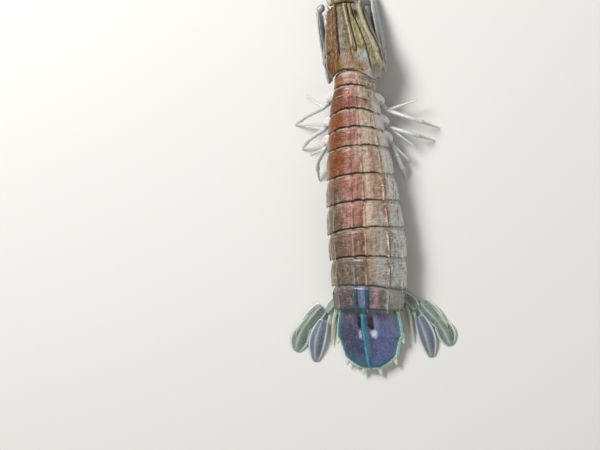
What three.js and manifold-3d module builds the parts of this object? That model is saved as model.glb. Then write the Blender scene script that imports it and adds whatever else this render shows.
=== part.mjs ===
// Mantis shrimp, life size, 145 mm from rostral plate to telson, lying on its belly side.
//
// Frame: millimetres, +Z up, head towards +Y, the animal's right side towards +X.
// The floor is z = 0. The origin is on the floor under the middle of the whole outline.
//
// The body is worked out in two frames. Behind the carapace every point is given as
// (u, x, z): u is the distance behind the carapace, x is sideways from the body's own
// line and z is up from the level of the shell's side edges. In front of that, the
// carapace, the head and its limbs are given in a head frame, x right, y forward, z up,
// that is turned a little to the left and dips a little.

import * as THREE from 'three';
import { LoftGeometry } from 'three/addons/geometries/LoftGeometry.js';
import { mergeVertices } from 'three/addons/utils/BufferGeometryUtils.js';
import Module from 'manifold-3d';

const wasm = await Module();
wasm.setup();

// Driving dimensions, in millimetres and degrees

const GAP = 0.3; // between one piece and the next
const CLOSE = 0.04; // points nearer to each other than this become one where pieces join
const OUTLINE_MIDDLE = { x: -1.97, y: -25.39 }; // of the whole animal, feelers and legs included

// The body line: distance behind the carapace, then how far the line lies sideways, the
// height of the shell's side edges, half the width and the height of the arch there, and
// the roll in degrees, which lowers the right side
const BODY_LINE = [
  { u: -6, side: -1.0, edge: 10.9, half: 7.4, arch: 7.8, roll: 4 },
  { u: 5, side: -0.9, edge: 10.3, half: 8.3, arch: 8.2, roll: 7 },
  { u: 14, side: -1.6, edge: 9.8, half: 10.0, arch: 8.8, roll: 12 },
  { u: 28, side: -1.7, edge: 8.8, half: 11.8, arch: 9.6, roll: 13 },
  { u: 50, side: -1.0, edge: 7.3, half: 14.1, arch: 10.9, roll: 8 },
  { u: 60, side: -0.5, edge: 6.8, half: 14.9, arch: 11.2, roll: 5 },
  { u: 70, side: 0, edge: 6.2, half: 15.1, arch: 11.2, roll: 1 },
  { u: 82, side: -0.4, edge: 5.3, half: 14.6, arch: 10.4, roll: -1 },
  { u: 91, side: -1.4, edge: 4.5, half: 13.3, arch: 8.6, roll: 0 },
  { u: 104, side: -2.0, edge: 3.1, half: 12, arch: 6, roll: 0 },
  { u: 117, side: -2.4, edge: 1.8, half: 11, arch: 4, roll: 0 },
];

const SOMITES = [
  { name: 'thorax_5', length: 5.0, bow: 2.6, ridge: 0 },
  { name: 'thorax_6', length: 8.9, bow: 3.4, ridge: 0.15 },
  { name: 'thorax_7', length: 6.9, bow: 2.9, ridge: 0.25 },
  { name: 'thorax_8', length: 7.3, bow: 2.3, ridge: 0.25 },
  { name: 'abdomen_1', length: 10.8, bow: 2.0, ridge: 0.35 },
  { name: 'abdomen_2', length: 10.4, bow: 1.9, ridge: 0.4 },
  { name: 'abdomen_3', length: 10.4, bow: 1.9, ridge: 0.4 },
  { name: 'abdomen_4', length: 10.8, bow: 1.9, ridge: 0.45 },
  { name: 'abdomen_5', length: 11.2, bow: 1.9, ridge: 0.5 },
  { name: 'abdomen_6', length: 9.1, bow: 1.2, ridge: 0.6 },
];
const ARCH_RIDGES = [9.5, 45, 74]; // angles from the crown of the carinae on one side
const RIDGE_FOOT = 3; // half the angle that a carina's foot covers
const BELLY_HEIGHT = 1.6; // of the belly above the shell's side edges

const CARAPACE = {
  length: 25.3, turn: 9, dip: 8, roll: 4,
  halfBack: 9.4, halfWide: 11.7, halfFront: 6.3, wideAt: 5.6,
  bow: 2, skew: 0.2, overhang: 1.2,
};
const CARAPACE_ARCH = { back: 8.5, front: 6.2 };
const CARAPACE_RIDGES = [
  { angle: 0, height: 0.35 },
  { angle: 21, height: -0.5 },
  { angle: 52, height: 0.45 },
];

const TELSON = { length: 24.4, arch: 5.8, archEnd: 2.2, edgeThickness: 1.0 };
const TELSON_OUTLINE = [ // share of the length, and half the width there
  [0, 12.1], [0.1, 12.6], [0.25, 13.2], [0.47, 13.6], [0.57, 12.4], [0.66, 11.7],
  [0.78, 10.8], [0.85, 9.4], [0.91, 7.3], [0.96, 5.2], [0.99, 4.1],
];
const TELSON_TEETH = [
  { along: 0.46, side: 12.6, length: 3.4, splay: 18 },
  { along: 0.77, side: 9.5, length: 3.9, splay: 10 },
  { along: 0.93, side: 3.5, length: 3.8, splay: 4 },
];

// Materials

function shell(color, roughness = 0.45) {
  return new THREE.MeshStandardMaterial({ color, roughness, metalness: 0, flatShading: true });
}

const FINISH = {
  carapace: shell(0x937f5f),
  thorax: shell(0xaa8477),
  abdomen: shell(0xa1886f),
  tail: shell(0x5e6f88),
  blade: shell(0xb4b59a),
  limb: shell(0xd5d6cf),
  claw: shell(0xd8d9d2),
  eye: shell(0x8f9a55, 0.2),
  feeler: shell(0xc9b79a),
};

// Small maths

const radians = THREE.MathUtils.degToRad;
const lerp = THREE.MathUtils.lerp;
const smoothstep = THREE.MathUtils.smoothstep;

// A smooth curve through rows of values: a cubic between two rows, whose slope at a row
// is that of the line from the row before it to the row after it
function smoothThrough(rows, key) {
  const slope = (i) => {
    const before = rows[Math.max(i - 1, 0)];
    const after = rows[Math.min(i + 1, rows.length - 1)];
    return (after[key] - before[key]) / (after.u - before.u);
  };
  return (u) => {
    let i = rows.findIndex((row) => row.u > u) - 1;
    if (i < 0) i = u < rows[0].u ? 0 : rows.length - 2;
    const span = rows[i + 1].u - rows[i].u;
    const t = (u - rows[i].u) / span;
    const rise = rows[i + 1][key] - rows[i][key];
    const a = slope(i) * span - rise;
    const b = rise - slope(i + 1) * span;
    return lerp(rows[i][key], rows[i + 1][key], t) + t * (1 - t) * (a * (1 - t) + b * t);
  };
}

const bodySide = smoothThrough(BODY_LINE, 'side');
const bodyEdge = smoothThrough(BODY_LINE, 'edge');
const bodyHalf = smoothThrough(BODY_LINE, 'half');
const bodyArch = smoothThrough(BODY_LINE, 'arch');
const bodyRoll = smoothThrough(BODY_LINE, 'roll');

// A point of the body frame: the section at u is square to the body line, so it leans
// by the line's own slopes
function bodyPoint(u, x, z) {
  const step = 0.5;
  const turn = (bodySide(u + step) - bodySide(u - step)) / (2 * step);
  const fall = (bodyEdge(u + step) - bodyEdge(u - step)) / (2 * step);
  const roll = radians(bodyRoll(u));
  const across = (x * Math.cos(roll) + z * Math.sin(roll)) / Math.hypot(1, turn);
  const up = (z * Math.cos(roll) - x * Math.sin(roll)) / Math.hypot(1, fall);
  return new THREE.Vector3(bodySide(u) + across, -u + across * turn + up * fall, bodyEdge(u) + up);
}

// A point of the head frame
const HEAD_TURN = new THREE.Matrix4().makeRotationFromEuler(
  new THREE.Euler(-radians(CARAPACE.dip), radians(CARAPACE.roll), radians(CARAPACE.turn), 'ZYX'),
);
const HEAD_PLACE = new THREE.Vector3(bodySide(0), 0, bodyEdge(0));

function headPoint(x, y, z) {
  return new THREE.Vector3(x, y, z).applyMatrix4(HEAD_TURN).add(HEAD_PLACE);
}

// Closed solids, their joins and cuts

function solidOf(geometry, weld = 1e-4) {
  const bare = new THREE.BufferGeometry();
  bare.setAttribute('position', geometry.attributes.position);
  bare.setIndex(geometry.index);
  const merged = mergeVertices(bare, weld);
  const index = merged.index.array;
  const faces = [];
  for (let i = 0; i < index.length; i += 3) {
    const [a, b, c] = index.slice(i, i + 3);
    if (a !== b && b !== c && c !== a) faces.push(a, b, c);
  }
  return new wasm.Manifold(new wasm.Mesh({
    numProp: 3,
    vertProperties: new Float32Array(merged.attributes.position.array),
    triVerts: new Uint32Array(faces),
  }));
}

function geometryOf(solid) {
  const { vertProperties, triVerts, numProp } = solid.getMesh();
  const position = vertProperties.filter((value, i) => i % numProp < 3);
  const geometry = new THREE.BufferGeometry();
  geometry.setAttribute('position', new THREE.BufferAttribute(position, 3));
  geometry.setIndex(new THREE.BufferAttribute(new Uint32Array(triVerts), 1));
  return geometry;
}

// Takes out the slivers that a join or a cut leaves
function withoutSlivers(solid) {
  return solidOf(geometryOf(solid), CLOSE).asOriginal().simplify(CLOSE / 2);
}

// Joins pieces and keeps the largest closed surface
function fuse(pieces) {
  let joined = pieces[0];
  for (const piece of pieces.slice(1)) joined = joined.add(piece);
  const parts = joined.decompose();
  const largest = parts.reduce((best, part) => (part.volume() > best.volume() ? part : best));
  return withoutSlivers(largest);
}

function aboveFloor(solid) {
  return withoutSlivers(solid.trimByPlane([0, 0, 1], 0));
}

const shrimp = new THREE.Group();
shrimp.position.set(-OUTLINE_MIDDLE.x, -OUTLINE_MIDDLE.y, 0);

function addPiece(name, solid, material) {
  const geometry = geometryOf(solid);
  geometry.computeVertexNormals();
  const mesh = new THREE.Mesh(geometry, material);
  mesh.name = name;
  shrimp.add(mesh);
}

// A limb, blade or spine: oval rings along a smooth path. width and thick are full sizes
// as functions of the way along, from 0 to 1; up is the direction of the thickness.
function limb(path, { width, thick = width, up = new THREE.Vector3(0, 0, 1), sides = 8, steps = 8 }) {
  const curve = path.length === 2 ? new THREE.LineCurve3(...path) : new THREE.CatmullRomCurve3(path);
  const rings = [];
  for (let i = 0; i <= steps; i++) {
    const s = i / steps;
    const centre = curve.getPointAt(s);
    const ahead = curve.getTangentAt(s);
    const side = new THREE.Vector3().crossVectors(ahead, up).normalize();
    const top = new THREE.Vector3().crossVectors(side, ahead);
    const ring = [];
    for (let k = 0; k < sides; k++) {
      const angle = (k / sides) * 2 * Math.PI;
      ring.push(centre.clone()
        .addScaledVector(side, Math.sin(angle) * width(s) / 2)
        .addScaledVector(top, Math.cos(angle) * thick(s) / 2));
    }
    rings.push(ring);
  }
  return solidOf(new LoftGeometry(rings, { capStart: true, capEnd: true }));
}

// A size that tapers evenly from one value to another
const taper = (from, to) => (s) => lerp(from, to, s);

// A leaf's width: round at the root and the tip, fullest at the given place
function leaf(full, root, tip, at = 0.5) {
  return (s) => {
    const t = s < at ? s / at : (1 - s) / (1 - at);
    return lerp(s < at ? root : tip, full, Math.sin(t * Math.PI / 2));
  };
}

function spine(base, tip, width, up = new THREE.Vector3(0.3, 0, 1)) {
  return limb([base, tip], { width: taper(width, 0.12), up, sides: 5, steps: 1 });
}

// Shell rings

const FIELD_STEP = 15; // the widest step in degrees between two points of an arch

// The angles of an arch's points, from the right edge over the crown to the left edge
function archAngles(ridges) {
  const half = [];
  let last = 0;
  for (const angle of ridges) {
    const foot = angle - RIDGE_FOOT;
    const count = Math.floor((foot - last) / FIELD_STEP);
    for (let k = 1; k <= count; k++) half.push(last + (foot - last) * k / (count + 1));
    if (foot > 0) half.push(foot);
    if (angle > 0) half.push(angle);
    half.push(angle + RIDGE_FOOT);
    last = angle + RIDGE_FOOT;
  }
  const count = Math.floor((90 - last) / FIELD_STEP);
  for (let k = 1; k <= count; k++) half.push(lerp(last, 90, k / (count + 1)));
  half.push(90);
  return [...half.toReversed(), 0, ...half.map((angle) => -angle)];
}

// One section of a shell ring: an arch with its carinae over a flat belly, from the right
// edge over the back to the left edge and along the belly to the right again
function archSection(half, arch, angles, ridgeHeight) {
  const back = angles.map((angle) => {
    const t = radians(angle);
    const lift = ridgeHeight(Math.abs(angle));
    return { x: (half + lift) * Math.sin(t), z: arch * Math.max(Math.cos(t), 0) ** 0.92 + lift * Math.cos(t) };
  });
  const belly = [[1 - 1 / half, -0.1], [0.82, BELLY_HEIGHT * 0.7], [0.45, BELLY_HEIGHT]];
  const right = belly.map(([share, z]) => ({ x: share * half, z }));
  const left = right.map(({ x, z }) => ({ x: -x, z }));
  return [...back, ...left, ...right.reverse()];
}

// Lofts such sections, front to back. place turns a section's point into a point in space,
// by its ring and its share of the half width. The ends are closed by strips from back to
// belly, so that the ends of two neighbours follow the same bowed margin.
function shellLoft(sections, backCount, place) {
  const rings = sections.map(({ points, ...ring }) => points.map(({ x, z }) => place(ring, x, z)));
  const geometry = new LoftGeometry(rings);
  const xs = sections[0].points.map(({ x }) => x);
  const columns = xs.length;
  const belly = [0];
  for (let k = columns - 1; k >= backCount - 1; k--) belly.push(k);
  const faces = [];
  let i = 0;
  let j = 0;
  while (i < backCount - 1 || j < belly.length - 1) {
    const backNext = j === belly.length - 1 || (i < backCount - 1 && xs[i + 1] >= xs[belly[j + 1]]);
    const face = backNext ? [i, i + 1, belly[j]] : [i, belly[j + 1], belly[j]];
    if (new Set(face).size === 3) faces.push(face.sort((p, q) => p - q));
    if (backNext) i += 1;
    else j += 1;
  }
  const last = (rings.length - 1) * (columns + 1);
  const index = [...geometry.index.array];
  for (const [p, q, r] of faces) index.push(r, q, p, last + p, last + q, last + r);
  geometry.setIndex(index);
  return solidOf(geometry);
}

// Thoracic and abdominal somites

const SOMITE_LEVELS = [[0, 0.955], [0.12, 0.962], [0.19, 0.992], [0.6, 1.002], [1, 0.998]];

// Each level is [share of the length, size of the section there]
function somite({ front, length, bowFront, bow, ridge }, swell = 0) {
  const angles = archAngles(ARCH_RIDGES);
  const start = front + GAP / 2;
  const end = front + length - GAP / 2;
  const sections = SOMITE_LEVELS.map(([s, size]) => {
    const u = lerp(start, end, s);
    const grown = smoothstep(s, 0.15, 0.85) * ridge;
    const lift = (angle) => (ARCH_RIDGES.includes(angle) ? grown : 0);
    const points = archSection(bodyHalf(u) * size + swell, bodyArch(u) * size + swell, angles, lift);
    return { points, u, bow: lerp(bowFront, bow, s) };
  });
  return shellLoft(sections, angles.length, (ring, x, z) => (
    bodyPoint(ring.u + ring.bow * (x / bodyHalf(ring.u)) ** 2, x, z)
  ));
}

// A carina's end spine on a somite's hind margin
function marginSpine(end, bow, angle, length) {
  const t = radians(angle);
  const half = bodyHalf(end) + 0.3;
  const arch = bodyArch(end) + 0.3;
  const back = end + bow * Math.sin(t) ** 2;
  const x = half * Math.sin(t);
  const z = arch * Math.cos(t) ** 0.92;
  return spine(bodyPoint(back - 1.2, x, z), bodyPoint(back + length, x * 1.01, z + 0.25), 0.75);
}

let reach = 0;
let bowFront = CARAPACE.bow;
for (const part of SOMITES) {
  Object.assign(part, { front: reach, bowFront });
  reach += part.length;
  bowFront = part.bow;
}
const TELSON_FRONT = reach;

// Side lobes of the thoracic somites, which end in a blunt point that turns back
function sideLobe(u, side, out) {
  const half = bodyHalf(u);
  const path = [
    bodyPoint(u - 1.0, side * (half - 1.6), 2.2),
    bodyPoint(u + 0.4, side * (half + out * 0.7), 0.9),
    bodyPoint(u + 2.2, side * (half + out), 0.4),
  ];
  return limb(path, { width: leaf(3.4, 2.6, 0.7, 0.3), thick: taper(1.6, 0.5), sides: 6, steps: 4 });
}

const SPINED = {
  abdomen_4: [45, 74],
  abdomen_5: [45, 74, 88],
  abdomen_6: [9.5, 45, 74],
};

for (const part of SOMITES) {
  const pieces = [somite(part)];
  const end = part.front + part.length - GAP / 2;
  for (const side of [-1, 1]) {
    for (const angle of SPINED[part.name] ?? []) {
      pieces.push(marginSpine(end, part.bow, side * angle, part.name === 'abdomen_6' ? 1.6 : 1.0));
    }
    if (['thorax_6', 'thorax_7', 'thorax_8'].includes(part.name)) {
      pieces.push(sideLobe(part.front + part.bowFront + part.length * 0.38, side, 1.4));
    }
  }
  addPiece(part.name, fuse(pieces), part.name.startsWith('thorax') ? FINISH.thorax : FINISH.abdomen);
}

// Carapace: rings from the hind margin forward, wide behind and narrow in front

function carapaceHalf(y) {
  const { length, halfBack, halfWide, halfFront, wideAt } = CARAPACE;
  if (y < wideAt) return lerp(halfBack, halfWide, smoothstep(y, 1, wideAt));
  const t = (y - wideAt) / (length - wideAt);
  return lerp(halfWide, halfFront, t ** 1.15);
}

// How far back the hind margin lies at a share of the half width: the side lobes reach
// furthest back a little way in from the side edges
function lobe(share) {
  return share ** 2.2 - 0.5 * smoothstep(share, 0.86, 1);
}

function carapaceSolid() {
  const angles = archAngles(CARAPACE_RIDGES.map((ridge) => ridge.angle));
  const levels = [1, 0.9, 0.7, 0.5, 0.32, 0.2, 0.1, 0];
  const sections = levels.map((s) => {
    const y = s * CARAPACE.length;
    const arch = lerp(CARAPACE_ARCH.back, CARAPACE_ARCH.front, s ** 1.4);
    const grown = smoothstep(s, 0.02, 0.3) * (1 - 0.4 * smoothstep(s, 0.9, 1));
    const lift = (angle) => {
      const ridge = CARAPACE_RIDGES.find((row) => row.angle === angle);
      return ridge ? ridge.height * grown : 0;
    };
    const half = carapaceHalf(y);
    const bow = lerp(4.2, 1.0, smoothstep(s, 0, 0.6));
    const behind = 1 - smoothstep(s, 0, 0.5);
    return { points: archSection(half, arch, angles, lift), y, half, bow, behind };
  });
  const { skew, overhang } = CARAPACE;
  return shellLoft(sections, angles.length, ({ y, half, bow, behind }, x, z) => (
    headPoint(x, y - bow * lobe(Math.abs(x / half)) - behind * (overhang + skew * x), z)
  ));
}

function carapace() {
  const room = somite({ front: -0.45, length: 7, bowFront: 2, bow: 2, ridge: 0 }, GAP + 0.1);
  const shield = carapaceSolid().subtract(room.add(room.translate([0, 0, -GAP])));
  const cornerSpines = [-1, 1].map((side) => {
    const y = CARAPACE.length;
    const half = carapaceHalf(y);
    return spine(headPoint(side * (half - 0.8), y - 2.4, 1.2), headPoint(side * (half + 0.5), y + 1.6, 0.9), 1.6);
  });
  return fuse([shield, ...cornerSpines]);
}

// Rostral plate: a short rounded shield hinged to the carapace's front margin

function rostralPlate() {
  const root = CARAPACE.length + GAP;
  const z = CARAPACE_ARCH.front - 0.7;
  const path = [headPoint(0, root, z), headPoint(0, root + 5.2, z - 0.5)];
  const forward = new THREE.Vector3(0, 0, 1);
  return limb(path, { width: leaf(7.2, 6.6, 2.4, 0.25), thick: taper(1.3, 0.8), up: forward, sides: 12, steps: 5 });
}

// Head: the block of the mouth and the front somites, under the carapace and the plate

function headBlock() {
  const stations = [
    { y: 0.8, half: 4.0, low: -1.6, high: 0.8 },
    { y: 6, half: 4.9, low: -2.4, high: 1.2 },
    { y: 18, half: 4.6, low: -2.4, high: 1.2 },
    { y: 24, half: 4.2, low: -2.2, high: 1.2 },
  ];
  const brow = [
    { y: 22, half: 3.6, low: -2.0, high: 0.9 },
    { y: CARAPACE.length + 0.5, half: 3.9, low: -1.8, high: 0.9 },
    { y: CARAPACE.length + 0.6, half: 3.9, low: -1.8, high: 4.4 },
    { y: CARAPACE.length + 4.2, half: 2.9, low: -1.0, high: 4.0 },
  ];
  const block = (rows) => {
    const rings = rows.map(({ y, half, low, high }) => {
      const ring = [];
      for (let k = 0; k < 12; k++) {
        const angle = ((k + 0.5) / 12) * 2 * Math.PI;
        const c = Math.cos(angle);
        const s = Math.sin(angle);
        const x = half * Math.sign(c) * Math.abs(c) ** 0.6;
        const z = lerp(low, high, 0.5 + 0.5 * Math.sign(s) * Math.abs(s) ** 0.6);
        ring.push(headPoint(x, y, z));
      }
      return ring;
    });
    return solidOf(new LoftGeometry(rings.map((ring) => ring.reverse()), { capStart: true, capEnd: true }));
  };
  return fuse([block(stations), block(brow)]);
}

// Ball of a given size and turn, for the lobes of the eyes

function ball(centre, size, turn) {
  const geometry = new THREE.SphereGeometry(1, 8, 6);
  geometry.scale(size.x, size.y, size.z);
  geometry.rotateZ(turn);
  geometry.translate(centre.x, centre.y, centre.z);
  return solidOf(geometry);
}

function eye(side) {
  const root = headPoint(side * 1.7, CARAPACE.length + 4.9, 2.7);
  const end = headPoint(side * 3.6, CARAPACE.length + 8.4, 3.4);
  const stalk = limb([root, end], { width: taper(2.0, 3.4), sides: 8, steps: 3 });
  const slant = radians(side * 28 + CARAPACE.turn);
  const lobes = [-1, 1].map((way) => {
    const across = way * 1.35;
    const x = side * 3.9 + across * Math.cos(radians(28));
    const y = CARAPACE.length + 9.2 + side * across * Math.sin(radians(28));
    return ball(headPoint(x, y, 3.5), new THREE.Vector3(1.75, 1.6, 1.9), slant);
  });
  return fuse([stalk, ...lobes]);
}

// Antennules: a three-jointed stem with three thin flagella

function antennule(side) {
  const y = CARAPACE.length + 4.6;
  const stem = limb([
    headPoint(side * 1.5, y, 0.1),
    headPoint(side * 1.9, y + 8, 0.1),
    headPoint(side * 2.9, y + 19, 0.9),
  ], { width: (s) => 1.7 - 0.5 * s + 0.16 * Math.sin(s * 6 * Math.PI) ** 2, sides: 6, steps: 6 });
  const flagella = [-1, 0, 1].map((way) => {
    const base = headPoint(side * (2.9 + way * 0.25), y + 18.2, 0.85 + way * 0.1);
    const middle = headPoint(side * (4.6 + way * 2.0), y + 27, 2.6 + way * 1.2);
    const tip = headPoint(side * (7.2 + way * 4.0), y + 36, 3.4 + way * 2.0);
    return limb([base, middle, tip], { width: taper(0.8, 0.5), sides: 4, steps: 5 });
  });
  return fuse([stem, ...flagella]);
}

// Antennae: a stout root, the oval scale and one flagellum below it

function antennaRoot(side) {
  const y = CARAPACE.length;
  return limb([headPoint(side * 4.9, y + 1.2, -0.5), headPoint(side * 6.3, y + 5.2, -0.3)], {
    width: leaf(3.0, 2.2, 2.2), sides: 8, steps: 4,
  });
}

function antennalScale(side) {
  const y = CARAPACE.length;
  const path = [
    headPoint(side * 6.5, y + 6.1, -0.2),
    headPoint(side * 8.0, y + 14, 0.4),
    headPoint(side * 9.4, y + 23, 0.6),
  ];
  return limb(path, { width: leaf(7.0, 1.8, 1.2, 0.5), thick: leaf(1.0, 1.0, 0.5), sides: 8, steps: 8 });
}

function antenna(side) {
  const y = CARAPACE.length;
  const stem = limb([
    headPoint(side * 6.0, y + 4.0, -0.9),
    headPoint(side * 6.6, y + 7.5, -2.3),
    headPoint(side * 7.4, y + 13.5, -2.2),
  ], { width: taper(1.8, 1.2), sides: 7, steps: 5 });
  const flagellum = limb([
    headPoint(side * 7.3, y + 12.6, -2.2),
    headPoint(side * 10.5, y + 21, -1.6),
    headPoint(side * 16.5, y + 33, 1.2),
  ], { width: taper(0.9, 0.45), sides: 5, steps: 8 });
  return fuse([antennaRoot(side), stem, flagellum]);
}

// Raptorial claws: folded along the sides of the head, the finger on top of the hand

const CLAW_SPREAD = { '-1': 0.9, 1: 0 }; // how much further out each claw lies

function clawPoint(side, x, y, z) {
  return headPoint(side * (x + CLAW_SPREAD[side]), y, z);
}

function merus(side) {
  const upper = limb([
    clawPoint(side, 6.9, 2.6, -3.4),
    clawPoint(side, 7.2, 12, -3.7),
    clawPoint(side, 7.9, 24.2, -2.9),
  ], { width: leaf(3.2, 2.2, 2.2, 0.45), thick: leaf(6.2, 3.2, 3.4, 0.45), sides: 10, steps: 8 });
  return upper;
}

function propodus(side) {
  const hand = limb([
    clawPoint(side, 10.6, 26.6, -3.3),
    clawPoint(side, 10.9, 13, -5.2),
    clawPoint(side, 10.9, -1.5, -6.3),
  ], { width: leaf(2.6, 1.8, 1.4, 0.35), thick: leaf(5.6, 3.6, 2.4, 0.35), sides: 10, steps: 9 });
  const wrist = limb([
    clawPoint(side, 7.9, 26.9, -2.8),
    clawPoint(side, 10.9, 26.0, -3.2),
  ], { width: leaf(3.2, 2.4, 2.6), sides: 8, steps: 3 });
  return fuse([hand, wrist]);
}

function dactylus(side) {
  const path = [
    clawPoint(side, 10.9, -2.6, -3.8),
    clawPoint(side, 10.8, 0.6, -2.4),
    clawPoint(side, 10.9, 9.5, -0.9),
    clawPoint(side, 10.8, 19, 0.0),
    clawPoint(side, 10.5, 24, -0.3),
  ];
  const blade = limb(path, { width: taper(1.5, 0.5), thick: taper(1.9, 0.5), sides: 6, steps: 8 });
  const curve = new THREE.CatmullRomCurve3(path);
  const teeth = [0.3, 0.43, 0.56, 0.69, 0.82].map((s) => {
    const base = curve.getPointAt(s);
    const tip = base.clone().add(new THREE.Vector3(0, 0.5, -1.35));
    return spine(base, tip, 0.9, new THREE.Vector3(0, 1, 0));
  });
  return fuse([blade, ...teeth]);
}

// Maxillipeds: the slender first pair, and three pairs that end in a small round hand

function firstMaxilliped(side) {
  return limb([
    headPoint(side * 2.4, 17, -3.3),
    headPoint(side * 3.5, 20.5, -4.6),
    headPoint(side * 3.1, 26, -3.7),
    headPoint(side * 2.2, 29.5, -3.2),
  ], { width: taper(1.3, 0.8), sides: 6, steps: 8 });
}

function handedMaxilliped(side, y) {
  const arm = limb([
    headPoint(side * 2.4, y, -3.1),
    headPoint(side * 3.8, y + 2.2, -4.7),
    headPoint(side * 3.0, y + 4.6, -6.3),
  ], { width: taper(1.4, 1.1), sides: 6, steps: 6 });
  const hand = limb([
    headPoint(side * 3.2, y + 4.2, -6.1),
    headPoint(side * 1.7, y + 5.6, -6.9),
  ], { width: leaf(2.6, 1.2, 1.0), thick: leaf(1.2, 0.9, 0.5), sides: 8, steps: 4 });
  return fuse([arm, hand]);
}

// Walking legs: a stem that forks into the long leg and a thin side branch. The stem's
// points are [x, distance behind the carapace, height above the shell's side edges], and
// the others have their height above the floor.
const LEGS = {
  right: [
    { stem: [[4.4, 9.6, -0.1], [9.4, 13.2, -1.9], [12.8, 16.8, -1.2]],
      leg: [[23.4, 20.4, 6.6], [30.6, 23.9, 0]], branch: [24.4, 12.7, 7.2] },
    { stem: [[4.6, 17.0, -0.1], [9.8, 20.4, -1.9], [12.8, 23.4, -1.3]],
      leg: [[21.6, 25.8, 5.8], [28.4, 28.6, 0]], branch: [21.4, 30.2, 4.8] },
    { stem: [[4.8, 24.2, -0.1], [10.4, 27.2, -1.9], [13.8, 30.2, -1.6]],
      leg: [[15.2, 36.4, 4.4], [16.0, 43.2, 0]], branch: [18.6, 35.4, 4.2] },
  ],
  left: [
    { stem: [[4.4, 9.6, -0.1], [9.6, 12.4, -1.9], [13.2, 14.8, -1.0]],
      leg: [[21.6, 17.4, 7.6], [28.4, 20.0, 0]], branch: [20.6, 9.4, 8.4] },
    { stem: [[4.6, 17.0, -0.1], [9.8, 20.0, -1.9], [13.0, 22.6, -1.3]],
      leg: [[20.8, 26.2, 6.2], [26.0, 29.6, 0]], branch: [21.6, 20.8, 6.8] },
    { stem: [[4.8, 24.2, -0.1], [10.4, 27.2, -1.9], [13.8, 30.2, -1.6]],
      leg: [[18.2, 35.6, 5.0], [19.8, 42.0, 0]], branch: [20.8, 31.8, 5.4] },
  ],
};

// A point behind the carapace given by its height above the floor
function floorPoint(u, x, height) {
  return new THREE.Vector3(bodySide(u) + x, -u, height);
}

function walkingLeg(side, { stem, leg, branch }) {
  const hip = stem.map(([x, u, z]) => bodyPoint(u, side * x, z));
  const [knee, foot, end] = [...leg, branch].map(([x, u, height]) => floorPoint(u, side * x, height));
  const root = limb(hip, { width: taper(2.2, 1.7), sides: 6, steps: 4 });
  const fork = hip[1].clone().lerp(hip[2], 0.8);
  foot.z -= 0.6;
  const lower = limb([fork, knee, foot], { width: taper(1.5, 0.9), sides: 6, steps: 6 });
  const twig = limb([fork, end], { width: taper(1.0, 0.5), sides: 4, steps: 2 });
  return aboveFloor(fuse([root, lower, twig]));
}

// Pleopods: under each of the first five abdominal somites, a short stem with two leaves
// that lie back, and the gill's filaments behind the stem

const PLEOPOD = { leaf: 10.5, filaments: 3, clear: 1.4 };

function pleopod(part, side) {
  const u = part.front + part.length * 0.36;
  const depth = bodyPoint(u, side * 8, 0).z + BELLY_HEIGHT - PLEOPOD.clear;
  const low = (share) => BELLY_HEIGHT - depth * share;
  const stem = limb([
    bodyPoint(u, side * 6.9, low(0) - GAP - 0.7),
    bodyPoint(u, side * 6.9, low(0.36)),
  ], { width: taper(4.2, 3.6), thick: taper(2.0, 1.6), up: new THREE.Vector3(0, 1, 0), sides: 8, steps: 1 });
  const back = new THREE.Vector3(0, 1, 0.7);
  const leaves = [
    { x: 8.0, out: 10.0, width: 5.0, long: 1 },
    { x: 5.8, out: 4.6, width: 4.4, long: 0.86 },
  ].map(({ x, out, width, long }) => limb([
    bodyPoint(u + 0.5, side * x, low(0.32)),
    bodyPoint(u + PLEOPOD.leaf * 0.5 * long, side * lerp(x, out, 0.6), low(0.68)),
    bodyPoint(u + PLEOPOD.leaf * long, side * out, low(0.94)),
  ], { width: leaf(width, 1.8, 1.4, 0.55), thick: taper(1.1, 0.6), up: back, sides: 6, steps: 4 }));
  const gills = [];
  for (let k = 0; k < PLEOPOD.filaments; k++) {
    const x = 6.0 + k * 1.2;
    gills.push(limb([
      bodyPoint(u + 0.5, side * x, low(0.24)),
      bodyPoint(u + 5.4 + 0.5 * (k % 2), side * (x + 0.3), low(0.28)),
    ], { width: taper(0.9, 0.6), sides: 4, steps: 1 }));
  }
  return fuse([stem, ...leaves, ...gills]);
}

// Telson: an arched plate with a rounded outline, a median carina and teeth on its margin

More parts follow.
